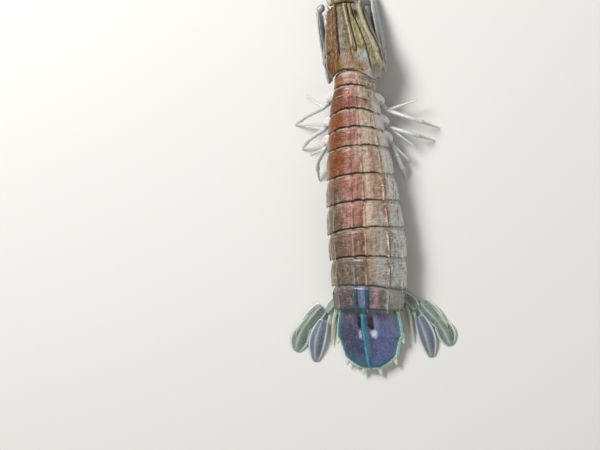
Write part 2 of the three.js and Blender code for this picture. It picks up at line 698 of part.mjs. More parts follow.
function telson() {
  const start = TELSON_FRONT + GAP;
  const angles = archAngles([0, 30]);
  const sections = TELSON_OUTLINE.map(([s, half]) => {
    const arch = lerp(TELSON.arch, TELSON.archEnd, s ** 1.3) * (s > 0.9 ? 0.85 : 1);
    const back = angles.map((angle) => {
      const t = radians(angle);
      const lift = angle === 0 ? 0.8 * smoothstep(s, 0.02, 0.2) : 0;
      return { x: half * Math.sin(t), z: arch * Math.max(Math.cos(t), 0) ** 1.3 + lift };
    });
    const under = [-0.93, -0.5, 0.5, 0.93].map((share) => {
      const depth = Math.abs(share) > 0.9 ? TELSON.edgeThickness : TELSON.edgeThickness * 0.6;
      return { x: half * share, z: -depth };
    });
    const u = start + s * TELSON.length;
    const bow = lerp(bowFront, 0, smoothstep(s, 0, 0.3));
    return { points: [...back, ...under], u, half, bow };
  });
  const plate = shellLoft(sections, angles.length, ({ u, half, bow }, x, z) => (
    bodyPoint(u + bow * (x / half) ** 2, x, z)
  ));
  const teeth = [];
  for (const side of [-1, 1]) {
    for (const { along, side: x, length, splay } of TELSON_TEETH) {
      const u = start + along * TELSON.length;
      const out = Math.sin(radians(splay)) * length;
      const tip = bodyPoint(u + length * Math.cos(radians(splay)), side * (x + out), 0.15);
      const base = bodyPoint(u - 2.4, side * (x - 1.2), -0.2);
      teeth.push(limb([base, tip], { width: taper(4.5, 0.4), thick: taper(1.2, 0.4), sides: 6, steps: 2 }));
    }
  }
  const carinaTip = bodyPoint(start + TELSON.length * 0.93, 0, TELSON.archEnd + 1.7);
  teeth.push(spine(bodyPoint(start + TELSON.length * 0.72, 0, 3.4), carinaTip, 1.1));
  return fuse([plate, ...teeth]);
}

// Uropods: a root with its forked spine, the outer branch with its paddle, the inner
// branch. They spread beside the telson and rest on the floor.

function uropodRoot(side) {
  const u = TELSON_FRONT;
  const root = limb([
    floorPoint(u - 3.4, side * 10.8, 2.6),
    floorPoint(u - 0.6, side * 14.6, 1.6),
    floorPoint(u + 2.4, side * 17.4, 1.7),
  ], { width: leaf(5.4, 4.0, 3.8), thick: taper(2.0, 1.8), sides: 8, steps: 5 });
  const prongs = [
    { x: 14.6, tip: 16.6, length: 14 },
    { x: 16.2, tip: 18.8, length: 9 },
  ].map(({ x, tip, length }) => limb([
    floorPoint(u + 0.8, side * x, 1.6),
    floorPoint(u + 0.8 + length, side * tip, 0.9),
  ], { width: taper(1.7, 0.4), thick: taper(1.2, 0.4), sides: 5, steps: 2 }));
  return aboveFloor(fuse([root, ...prongs]));
}

function uropodOuter(side) {
  const u = TELSON_FRONT - 0.2;
  const from = { x: 20.4, out: 27.7, length: 8 };
  const first = limb([
    floorPoint(u, side * from.x, 1.8),
    floorPoint(u + from.length, side * from.out, 1.4),
  ], { width: leaf(5.4, 3.4, 4.2), thick: taper(1.8, 1.2), sides: 8, steps: 3 });
  const paddle = limb([
    floorPoint(u + 7.4, side * 27.2, 1.4),
    floorPoint(u + 11.6, side * 29.8, 0.9),
    floorPoint(u + 16.6, side * 31.6, 0.15),
  ], { width: leaf(6.6, 3.4, 2.4), thick: taper(1.1, 0.8), sides: 8, steps: 5 });
  const spines = [];
  for (let k = 0; k < 6; k++) {
    const s = 0.25 + k * 0.14;
    const x = lerp(from.x, from.out, s) + 1.2;
    const base = floorPoint(u + from.length * s - 1.0, side * x, 1.6);
    spines.push(spine(base, floorPoint(u + from.length * s + 2.0, side * (x + 2.4), 1.6), 0.8));
  }
  return aboveFloor(fuse([first, paddle, ...spines]));
}

function uropodInner(side) {
  const u = TELSON_FRONT + 4.6;
  const blade = limb([
    floorPoint(u, side * 19.4, 2.3),
    floorPoint(u + 8, side * 22.4, 1.8),
    floorPoint(u + 16, side * 23.8, 0.15),
  ], { width: leaf(6.0, 2.4, 2.4), thick: taper(1.2, 0.8), sides: 8, steps: 7 });
  return aboveFloor(blade);
}

// The head and its limbs

addPiece('carapace', carapace(), FINISH.carapace);
addPiece('rostral_plate', rostralPlate(), FINISH.carapace);
addPiece('head', headBlock(), FINISH.limb);

for (const [hand, side] of [['left', -1], ['right', 1]]) {
  addPiece(`eye_${hand}`, eye(side), FINISH.eye);
  addPiece(`antennule_${hand}`, antennule(side), FINISH.feeler);
  addPiece(`antenna_${hand}`, antenna(side), FINISH.feeler);
  addPiece(`antennal_scale_${hand}`, antennalScale(side), FINISH.blade);
  addPiece(`raptorial_merus_${hand}`, merus(side), FINISH.claw);
  addPiece(`raptorial_propodus_${hand}`, propodus(side), FINISH.claw);
  addPiece(`raptorial_dactylus_${hand}`, dactylus(side), FINISH.claw);
  addPiece(`maxilliped_1_${hand}`, firstMaxilliped(side), FINISH.limb);
  addPiece(`maxilliped_3_${hand}`, handedMaxilliped(side, 9), FINISH.limb);
  addPiece(`maxilliped_4_${hand}`, handedMaxilliped(side, 4), FINISH.limb);
  addPiece(`maxilliped_5_${hand}`, handedMaxilliped(side, -1), FINISH.limb);
  LEGS[hand].forEach((leg, k) => addPiece(`walking_leg_${k + 1}_${hand}`, walkingLeg(side, leg), FINISH.limb));
  for (const part of SOMITES.slice(4, 9)) {
    const number = part.name.slice(-1);
    addPiece(`pleopod_${number}_${hand}`, pleopod(part, side), FINISH.limb);
  }
  addPiece(`uropod_root_${hand}`, uropodRoot(side), FINISH.tail);
  addPiece(`uropod_outer_${hand}`, uropodOuter(side), FINISH.blade);
  addPiece(`uropod_inner_${hand}`, uropodInner(side), FINISH.blade);
}

addPiece('telson', telson(), FINISH.tail);

export default shrimp;
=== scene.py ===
# %% [markdown]
# A mantis shrimp, life size, seen from above as it lies belly down.
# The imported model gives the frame: its nodes are the plain solids that every finer piece here replaces.
# The pieces could be sculpted by hand, or grown from boxes by subdivision. Here each one is worked out with
# numpy as a surface of two parameters, in millimetres, and made a mesh at the end: a shell or a leg is then
# a few formulas, which can be read and changed.

# %% Load the frame
import math

import bpy
import numpy as np
from mathutils import Matrix, Vector


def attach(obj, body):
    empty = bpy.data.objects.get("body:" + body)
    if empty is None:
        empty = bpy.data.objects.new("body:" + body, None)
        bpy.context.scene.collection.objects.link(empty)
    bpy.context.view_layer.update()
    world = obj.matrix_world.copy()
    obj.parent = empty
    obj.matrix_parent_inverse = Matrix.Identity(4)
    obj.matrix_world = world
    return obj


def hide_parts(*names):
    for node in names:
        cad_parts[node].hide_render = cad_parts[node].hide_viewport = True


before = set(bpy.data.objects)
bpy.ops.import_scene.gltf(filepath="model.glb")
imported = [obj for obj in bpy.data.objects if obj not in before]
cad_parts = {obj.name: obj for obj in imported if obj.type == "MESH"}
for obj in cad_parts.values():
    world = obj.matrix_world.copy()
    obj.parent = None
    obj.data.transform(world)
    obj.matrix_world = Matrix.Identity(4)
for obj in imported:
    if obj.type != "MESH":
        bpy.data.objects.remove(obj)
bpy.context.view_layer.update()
MM = 0.001
SIDES = (("left", -1), ("right", 1))
print("nodes in the frame:", len(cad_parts))

# %% [markdown]
# The real body is a chain of shells on one axis. Finished shells could be bent along a curve by a
# modifier, but a keel would then be stretched with them. Here a table describes the axis: for each
# distance u behind the carapace it has how far the line lies sideways, the height of the shell's side
# edges, half the width, the height of the arch and the roll, which lowers the animal's right side. A
# cubic through the rows keeps it smooth.

# %% The body line
BODY_ROWS = np.array([
    [-6, -1.0, 10.9, 7.4, 7.8, 4],
    [5, -0.9, 10.3, 8.3, 8.2, 7],
    [14, -1.6, 9.8, 10.0, 8.8, 12],
    [28, -1.7, 8.8, 11.8, 9.6, 13],
    [50, -1.0, 7.3, 14.1, 10.9, 8],
    [60, -0.5, 6.8, 14.9, 11.2, 5],
    [70, 0, 6.2, 15.1, 11.2, 1],
    [82, -0.4, 5.3, 14.6, 10.4, -1],
    [91, -1.4, 4.5, 13.3, 8.6, 0],
    [104, -2.0, 3.1, 12, 6, 0],
    [117, -2.4, 1.8, 11, 4, 0],
])
SIDE, EDGE, HALF, ARCH, ROLL = 1, 2, 3, 4, 5
ORIGIN = np.array([1.97, 25.39, 0.0])  # the carapace's hind margin, on the floor, in the row frame
BELLY = 1.6  # height of the belly above the shell's side edges


def cubic(places, values, where):
    """A cubic between two places, whose slope at a place is that of the line from its neighbour
    before to its neighbour after."""
    ends = np.r_[0, np.arange(len(places)), len(places) - 1]
    slope = (values[ends[2:]] - values[ends[:-2]]) / (places[ends[2:]] - places[ends[:-2]])
    i = np.clip(np.searchsorted(places, where, side="right") - 1, 0, len(places) - 2)
    span = places[i + 1] - places[i]
    rise = values[i + 1] - values[i]
    t = (where - places[i]) / span
    a = slope[i] * span - rise
    b = rise - slope[i + 1] * span
    return values[i] + t * rise + t * (1 - t) * (a * (1 - t) + b * t)


def line_value(u, column):
    """One column of the table at a distance u."""
    return cubic(BODY_ROWS[:, 0], BODY_ROWS[:, column], np.asarray(u, float))


def body_point(u, x, z):
    """The point x sideways and z up in the section at u. The section is turned by the roll, and is
    square to the line, so it leans by the line's slopes in plan and in height."""
    u, x, z = np.broadcast_arrays(np.asarray(u, float), x, z)
    turn = line_value(u + 0.5, SIDE) - line_value(u - 0.5, SIDE)
    fall = line_value(u + 0.5, EDGE) - line_value(u - 0.5, EDGE)
    roll = np.radians(line_value(u, ROLL))
    across = (x * np.cos(roll) + z * np.sin(roll)) / np.hypot(1, turn)
    up = (z * np.cos(roll) - x * np.sin(roll)) / np.hypot(1, fall)
    place = [line_value(u, SIDE) + across, -u + across * turn + up * fall, line_value(u, EDGE) + up]
    return np.stack(place, -1) + ORIGIN


def floor_point(u, x, height):
    """The point x beside the body line at u, at a height above the floor."""
    u, x, height = np.broadcast_arrays(np.asarray(u, float), x, height)
    return np.stack([line_value(u, SIDE) + x, -u, height], -1) + ORIGIN


print("crown of the back at mid length, in mm:", np.round(body_point(50, 0, line_value(50, ARCH)), 1))

# %% [markdown]
# The head and the carapace are one stiff block, a little turned and dipped at the neck. They could follow
# the body line as well, but that would bend them. They are built straight in a frame of their own, and one
# matrix, three turns multiplied, puts every point in its place.

# %% The head's own frame
HEAD_TURN, HEAD_DIP, HEAD_ROLL = 9, 8, 4  # degrees


def turned(axis, degrees):
    """The matrix that turns about X, Y or Z by an angle, anticlockwise seen from the axis's tip."""
    c, s = math.cos(math.radians(degrees)), math.sin(math.radians(degrees))
    return {"X": np.array([[1, 0, 0], [0, c, -s], [0, s, c]]),
            "Y": np.array([[c, 0, s], [0, 1, 0], [-s, 0, c]]),
            "Z": np.array([[c, -s, 0], [s, c, 0], [0, 0, 1]])}[axis]


HEAD_AXES = turned("Z", HEAD_TURN) @ turned("Y", HEAD_ROLL) @ turned("X", -HEAD_DIP)
HEAD_PLACE = np.array([line_value(0, SIDE), 0, line_value(0, EDGE)]) + ORIGIN


def head_point(x, y, z):
    """A point of the head's own frame, x right, y forward, z up from the carapace's side edges."""
    point = np.stack(np.broadcast_arrays(np.asarray(x, float), y, z), -1)
    return point @ HEAD_AXES.T + HEAD_PLACE


def head_path(side, *places):
    """Points of the head's frame, given for the right side and mirrored where side is -1."""
    return [head_point(side * x, y, z) for x, y, z in places]


print("the head's frame starts at, in mm:", np.round(HEAD_PLACE, 1))

# %% [markdown]
# A surface is a grid of points: rows along the piece and columns round it. A mesh could be built face by
# face, but whole arrays are faster and keep the formulas in sight. This cell turns grids into patches with
# faces that point outwards, closes their ends and joins them. Each point keeps some numbers, its marks,
# such as the angle round the body.

# %% Patches


def smoothstep(x, low, high):
    """0 below low, 1 above high, and 3t^2 - 2t^3 between them."""
    t = np.clip((np.asarray(x, float) - low) / (high - low), 0, 1)
    return t * t * (3 - 2 * t)


def bump(x, centre, width):
    """A bell of height 1 at the centre: e to the minus of the squared distance in widths."""
    return np.exp(-((np.asarray(x, float) - centre) / width) ** 2)


def patch(grid, marks, close=True):
    """A grid of rows by columns by 3 as points and faces. Each cell is a face of four corners,
    the columns wrap round, and each end is closed by a fan to the middle of its ring."""
    rows, columns = grid.shape[:2]
    index = np.arange(rows * columns).reshape(rows, columns)
    after = np.roll(index, -1, 1)
    quads = np.stack([index[:-1], after[:-1], after[1:], index[1:]], -1).reshape(-1, 4)
    points = [grid.reshape(-1, 3)]
    marks = {key: [np.broadcast_to(value, (rows, columns)).reshape(-1)] for key, value in marks.items()}
    fans = []
    for row in (0, -1) if close else ():
        middle = sum(len(p) for p in points)
        points.append(grid[row].mean(0)[None])
        for values in marks.values():
            values.append(values[0].reshape(rows, columns)[row].mean(keepdims=True))
        corners = [after[row], index[row]] if row == 0 else [index[row], after[row]]
        fans.append(np.stack([*corners, np.full(len(index[row]), middle)], -1))
    tris = np.concatenate(fans) if fans else np.zeros((0, 3), int)
    marks = {key: np.concatenate(values) for key, values in marks.items()}
    return {"points": np.concatenate(points), "quads": quads, "tris": tris, "marks": marks}


def marked(made, **marks):
    """The same patch with other marks; a single number holds for all its points."""
    count = len(made["points"])
    return {**made, "marks": {key: np.broadcast_to(value, count) for key, value in marks.items()}}


def join(patches):
    """Several patches as one: the points follow each other, and the faces count on from them."""
    start, points, quads, tris = 0, [], [], []
    names = sorted({key for p in patches for key in p["marks"]})
    marks = {key: [] for key in names}
    for p in patches:
        points.append(p["points"])
        quads.append(p["quads"] + start)
        tris.append(p["tris"] + start)
        for key in names:
            marks[key].append(p["marks"].get(key, np.zeros(len(p["points"]))))
        start += len(p["points"])
    return {"points": np.concatenate(points), "quads": np.concatenate(quads), "tris": np.concatenate(tris),
            "marks": {key: np.concatenate(values) for key, values in marks.items()}}


print("one width from its centre a bell is", round(float(bump(1, 0, 1)), 2), "high")

# %% [markdown]
# A mesh keeps its points, the corners of its faces and the start of each face in long lists. from_pydata
# fills them from nested lists and is slow with many faces, so whole arrays go in at once. The marks become
# attributes, which the finishes read.

# %% From patches to a Blender object


def piece(name, patches, material, replaces):
    """A Blender object of the patches, which stands for a node of the frame: the corners of all faces
    are one array, and a second one says where each face starts."""
    whole = join(patches)
    quads, tris = whole["quads"], whole["tris"]
    mesh = bpy.data.meshes.new(name)
    mesh.vertices.add(len(whole["points"]))
    mesh.vertices.foreach_set("co", (whole["points"] * MM).astype(np.float32).ravel())
    mesh.loops.add(quads.size + tris.size)
    mesh.loops.foreach_set("vertex_index", np.r_[quads.ravel(), tris.ravel()].astype(np.int32))
    mesh.polygons.add(len(quads) + len(tris))
    starts = np.r_[np.arange(len(quads)) * 4, quads.size + np.arange(len(tris)) * 3]
    mesh.polygons.foreach_set("loop_start", starts.astype(np.int32))
    mesh.update(calc_edges=True)
    mesh.validate()
    mesh.shade_smooth()
    for key, values in whole["marks"].items():
        mesh.attributes.new(key, "FLOAT", "POINT").data.foreach_set("value", values.astype(np.float32))
    mesh.materials.append(material)
    made = bpy.data.objects.new(name, mesh)
    bpy.context.scene.collection.objects.link(made)
    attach(made, "root")
    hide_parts(*replaces)
    print(f"{name}: {len(quads) * 2 + len(tris)} triangles")


# %% [markdown]
# Limbs, blades and spines are tubes: oval rings carried along a smooth path. A Blender curve with a bevel
# has the same section all along, and these are flat, squared or ribbed by turns, so the rings are worked
# out here. The path is a cubic through a few points. A ring's width and thickness change along it, and
# both ends are rounded off.

# %% Tubes along a path


def smooth_path(points, shares):
    """Points along a cubic through the given ones, one for each share of its length, from 0 to 1."""
    points = np.asarray(points, float)
    reach = np.r_[0, np.cumsum(np.linalg.norm(np.diff(points, axis=0), axis=1))]
    where = np.linspace(0, reach[-1], 400)
    fine = np.stack([cubic(reach, points[:, k], where) for k in range(3)], -1)
    length = np.r_[0, np.cumsum(np.linalg.norm(np.diff(fine, axis=0), axis=1))]
    return np.stack([np.interp(np.asarray(shares) * length[-1], length, fine[:, k]) for k in range(3)], -1)


def unit(ways):
    """Directions of length 1."""
    return ways / np.linalg.norm(ways, axis=1, keepdims=True)


def path_axes(points, s, up, count):
    """At places s of a path, looked up in count fine steps: the point, the direction ahead, and the
    side, which is ahead crossed with up."""
    fine = np.linspace(0, 1, count)
    ahead = np.gradient(smooth_path(points, fine), axis=0)
    ahead = unit(np.stack([np.interp(s, fine, ahead[:, k]) for k in range(3)], -1))
    return smooth_path(points, s), ahead, unit(np.cross(ahead, np.asarray(up, float)))


def row_places(rows, cap):
    """Places from 0 to 1 along a tube, set closer near both ends as on a half circle."""
    ends = (1 - np.cos(np.linspace(0, np.pi / 2, 6))) * cap
    return np.r_[ends[:-1], np.linspace(cap, 1 - cap, rows), 1 - ends[-2::-1]]


def round_ends(s, cap, least):
    """1 along the middle; over the cap at both ends it falls like a half circle, to a least value."""
    close = np.clip(np.minimum(s, 1 - s) / cap, 0, 1)
    return np.sqrt(np.clip(1 - (1 - close) ** 2, least, 1))


def squared(wave, power):
    """A sine or cosine raised to a power that makes a ring squarer, with its sign kept."""
    return np.sign(wave) * np.abs(wave) ** power


def tube(points, width, thick=None, up=(0, 0, 1), rows=24, sides=20, cap=0.04, square=1.0, shape=None,
         mark=0.0):
    """Rings along a path, their thickness lying towards up. A ring's point lies at sine times half the
    width sideways and cosine times half the thickness up, both made squarer, and times the shape, a
    function of the place and the angle. The mark kind is the same all over."""
    thick = thick or width
    s = row_places(rows, cap)
    centre, ahead, side = path_axes(points, s, up, 200)
    top = np.cross(side, ahead)
    ends = round_ends(s, cap, 4e-4)
    angle = np.linspace(0, 2 * np.pi, sides, endpoint=False)
    sine, cosine = squared(np.sin(angle), square), squared(np.cos(angle), square)
    s2, a2 = np.meshgrid(s, angle, indexing="ij")
    lift = 1.0 if shape is None else shape(s2, a2)
    w = (width(s) * ends / 2)[:, None] * lift
    t = (thick(s) * ends / 2)[:, None] * lift
    grid = centre[:, None] + side[:, None] * (w * sine)[..., None] + top[:, None] * (t * cosine)[..., None]
    return patch(grid, {"along": s2, "round": a2 / (2 * np.pi), "kind": np.full_like(s2, mark),
                        "lift": lift - 1 + 0 * s2})


print("a tube has at least", len(row_places(6, 0.05)), "rings")

# %% [markdown]
# A limb tapers, swells and has knuckles. These sizes could be typed in for every ring. As functions of the
# place along the tube they fit any number of rings, and have names that say what they do.

# %% Sizes along a tube


def taper(a, b):
    """A size that changes evenly from a to b."""
    return lambda s: a + (b - a) * np.asarray(s, float)


def leaf(full, root, tip, at=0.5):
    """A leaf's width: from root to full along a quarter sine up to the place at, then down to tip."""
    def size(s):
        s = np.asarray(s, float)
        t = np.where(s < at, s / at, (1 - s) / (1 - at))
        end = np.where(s < at, root, tip)
        return end + (full - end) * np.sin(np.clip(t, 0, 1) * np.pi / 2)
    return size


def knuckles(places, height, width):
    """A limb's joints: bells of the given height at some places along it."""
    return lambda s, a: 1 + height * sum(bump(s, place, width) for place in places)


def cone(end, more, power=0.8):
    """A size that falls to end at the tip: the rest of it goes with the distance from the tip to a
    power."""
    return lambda s: end + more * (1 - s) ** power


def spine(base, tip, width):
    """A cone from base to tip that narrows faster towards its point."""
    return tube([base, tip], cone(0.08, width - 0.08), rows=6, sides=8, cap=0.05, up=(0.3, 0.1, 1))


print("a spine has", len(spine((0, 0, 0), (0, 3, 0), 1)["points"]), "points")

# %% [markdown]
# A finish is a node material. It could be wired by hand in the shader editor. In a script one small class
# wraps a socket, so that masks can be written as sums and products, and one method adds any other node:
# first its settings, then the values or links of its sockets. Noise reads Object coordinates, turned into
# millimetres, so its sizes are those of the real marks.

# %% Finishes: a value to reckon with


class Value:
    """A number that differs from place to place: the output socket of a node in a finish."""

    def __init__(self, finish, socket):
        self.finish, self.socket = finish, socket

    def maths(self, operation, first, second):
        """The value of a Math node with this operation on two numbers or values."""
        return self.finish.node("ShaderNodeMath", {"operation": operation}, {0: first, 1: second})

    def __add__(self, other):
        return self.maths("ADD", self, other)

    __radd__ = __add__

    def __sub__(self, other):
        return self.maths("SUBTRACT", self, other)

    def __rsub__(self, other):
        return self.maths("SUBTRACT", other, self)

    def __mul__(self, other):
        return self.maths("MULTIPLY", self, other)

    __rmul__ = __mul__

    def size(self):
        """The number without its sign."""
        return self.maths("ABSOLUTE", self, 0)

    def rise(self, low, high):
        """0 at low, 1 at high, eased at both ends; with high below low it falls instead."""
        sockets = {"Value": self, "From Min": low, "From Max": high}
        return self.finish.node("ShaderNodeMapRange", {"interpolation_type": "SMOOTHSTEP"}, sockets)

    def band(self, centre, width):
        """1 at the centre and 0 at a width to either side of it."""
        return (self - centre).size().rise(width, 0)


# %% [markdown]
# A real shell is coloured by pigment under a clear skin, in zones and specks that overlap. An image of it
# could be painted and wrapped round, but then every piece needs its own flat map. A finish here starts
# with one colour and lays coats on it in turn, each where its mask allows, and then adds small relief.

# %% Finishes: colours, coats and relief


def ink(code):
    """A colour written as six hexadecimal digits, as the linear numbers that a shader works with."""
    part = np.array([int(code[i:i + 2], 16) for i in (0, 2, 4)]) / 255
    return (*np.where(part > 0.04045, ((part + 0.055) / 1.055) ** 2.4, part / 12.92), 1.0)


class Finish:
    """A material, its node tree and the tools to fill it."""

    def __init__(self, name):
        self.material = bpy.data.materials.new(name)
        self.material.use_nodes = True
        self.tree = self.material.node_tree
        self.shader = self.tree.nodes["Principled BSDF"]
        place = self.node("ShaderNodeTexCoord", {}, {}, "Object")
        self.place = self.node("ShaderNodeVectorMath", {"operation": "SCALE"}, {0: place, "Scale": 1 / MM})

    def node(self, kind, settings, sockets, out=0):
        """Adds a node of a kind: sets its settings, feeds its sockets and gives one of its outputs."""
        made = self.tree.nodes.new(kind)
        for key, value in settings.items():
            setattr(made, key, value)
        self.feed(made, sockets)
        return Value(self, made.outputs[out])

    def feed(self, made, sockets):
        """Puts a value or a link into each named socket of a node."""
        for key, value in sockets.items():
            if isinstance(value, Value):
                self.tree.links.new(value.socket, made.inputs[key])
            else:
                made.inputs[key].default_value = value

    def mark(self, name):
        """A number that the piece's own mesh keeps for each point."""
        return self.node("ShaderNodeAttribute", {"attribute_name": name}, {}, "Fac")

    def cloud(self, size, stretch=(1, 1, 1)):
        """Soft noise around 0, from about -0.5 to 0.5, with blobs of the given size in millimetres."""
        place = self.node("ShaderNodeVectorMath", {"operation": "DIVIDE"}, {0: self.place, 1: stretch})
        noise = self.node("ShaderNodeTexNoise", {}, {"Vector": place, "Scale": 1 / size, "Detail": 3.0})
        return (noise - 0.5) * 1.6

    def dots(self, spacing, radius):
        """1 in round soft dots, which lie irregularly at about the given spacing in millimetres."""
        cell = self.node("ShaderNodeTexVoronoi", {}, {"Vector": self.place, "Scale": 1 / spacing}, "Distance")
        return cell.rise(radius / spacing * 1.5, radius / spacing * 0.5)

    def mix(self, mask, under, over):
        """The colour over where the mask is 1, and the colour under where it is 0."""
        sockets = {0: mask, 6: under, 7: over}
        return self.node("ShaderNodeMix", {"data_type": "RGBA", "clamp_factor": True}, sockets, 2)

    def layers(self, base, *coats):
        """A base colour under several coats, each of a mask and the code of a colour, laid on in turn."""
        colour = ink(base)
        for mask, code in coats:
            colour = self.mix(mask, colour, ink(code))
        return colour

    def relief(self, *heights):
        """The surface's direction after some bumps, each of a height from 0 to 1 and its millimetres."""
        normal = None
        for height, depth in heights:
            sockets = {"Height": height, "Distance": depth * MM, "Strength": 1.0}
            if normal:
                sockets["Normal"] = normal
            normal = self.node("ShaderNodeBump", {}, sockets)
        return normal

    def surface(self, **sockets):
        """Sets the shader's own sockets; an underscore in a name stands for a space."""
        self.feed(self.shader, {key.replace("_", " "): value for key, value in sockets.items()})
        return self.material


print("orange brown in linear light:", np.round(ink("98684b"), 3))

# %% [markdown]
# The back has lengthwise zones: orange brown on the left, rose over the crown, cream and ochre to the
# right and lilac white at the edge. The cream beside the crown is partly a painted highlight, as if lit
# from the right. Patches of painted sheen lie over the crown and right of it, and painted light and
# painted glints lie on the right flank. The zones wander, and grow duller towards the tail. Each shell
# ends behind in a dark line, partly its pigment and partly painted shade of the gap at the joint, and a
# pale lip. It is wet, so a clear coat lies over a duller skin. The zones could be painted on an image,
# but masks of the angle and the distance stay sharp from near and have no seam.

# %% Finish of the back
ROSE, ORANGE, OCHRE, CREAM = "a26c5e", "7e4412", "cdae86", "d8c1a8"
UMBER, DARK, GREY, LILAC, TEAL = "5b4433", "1e100d", "b4b1a9", "cfc6c9", "17505f"
KEELS = (9.5, 45, 74, 88)  # of a shell, on both sides, in degrees from the crown


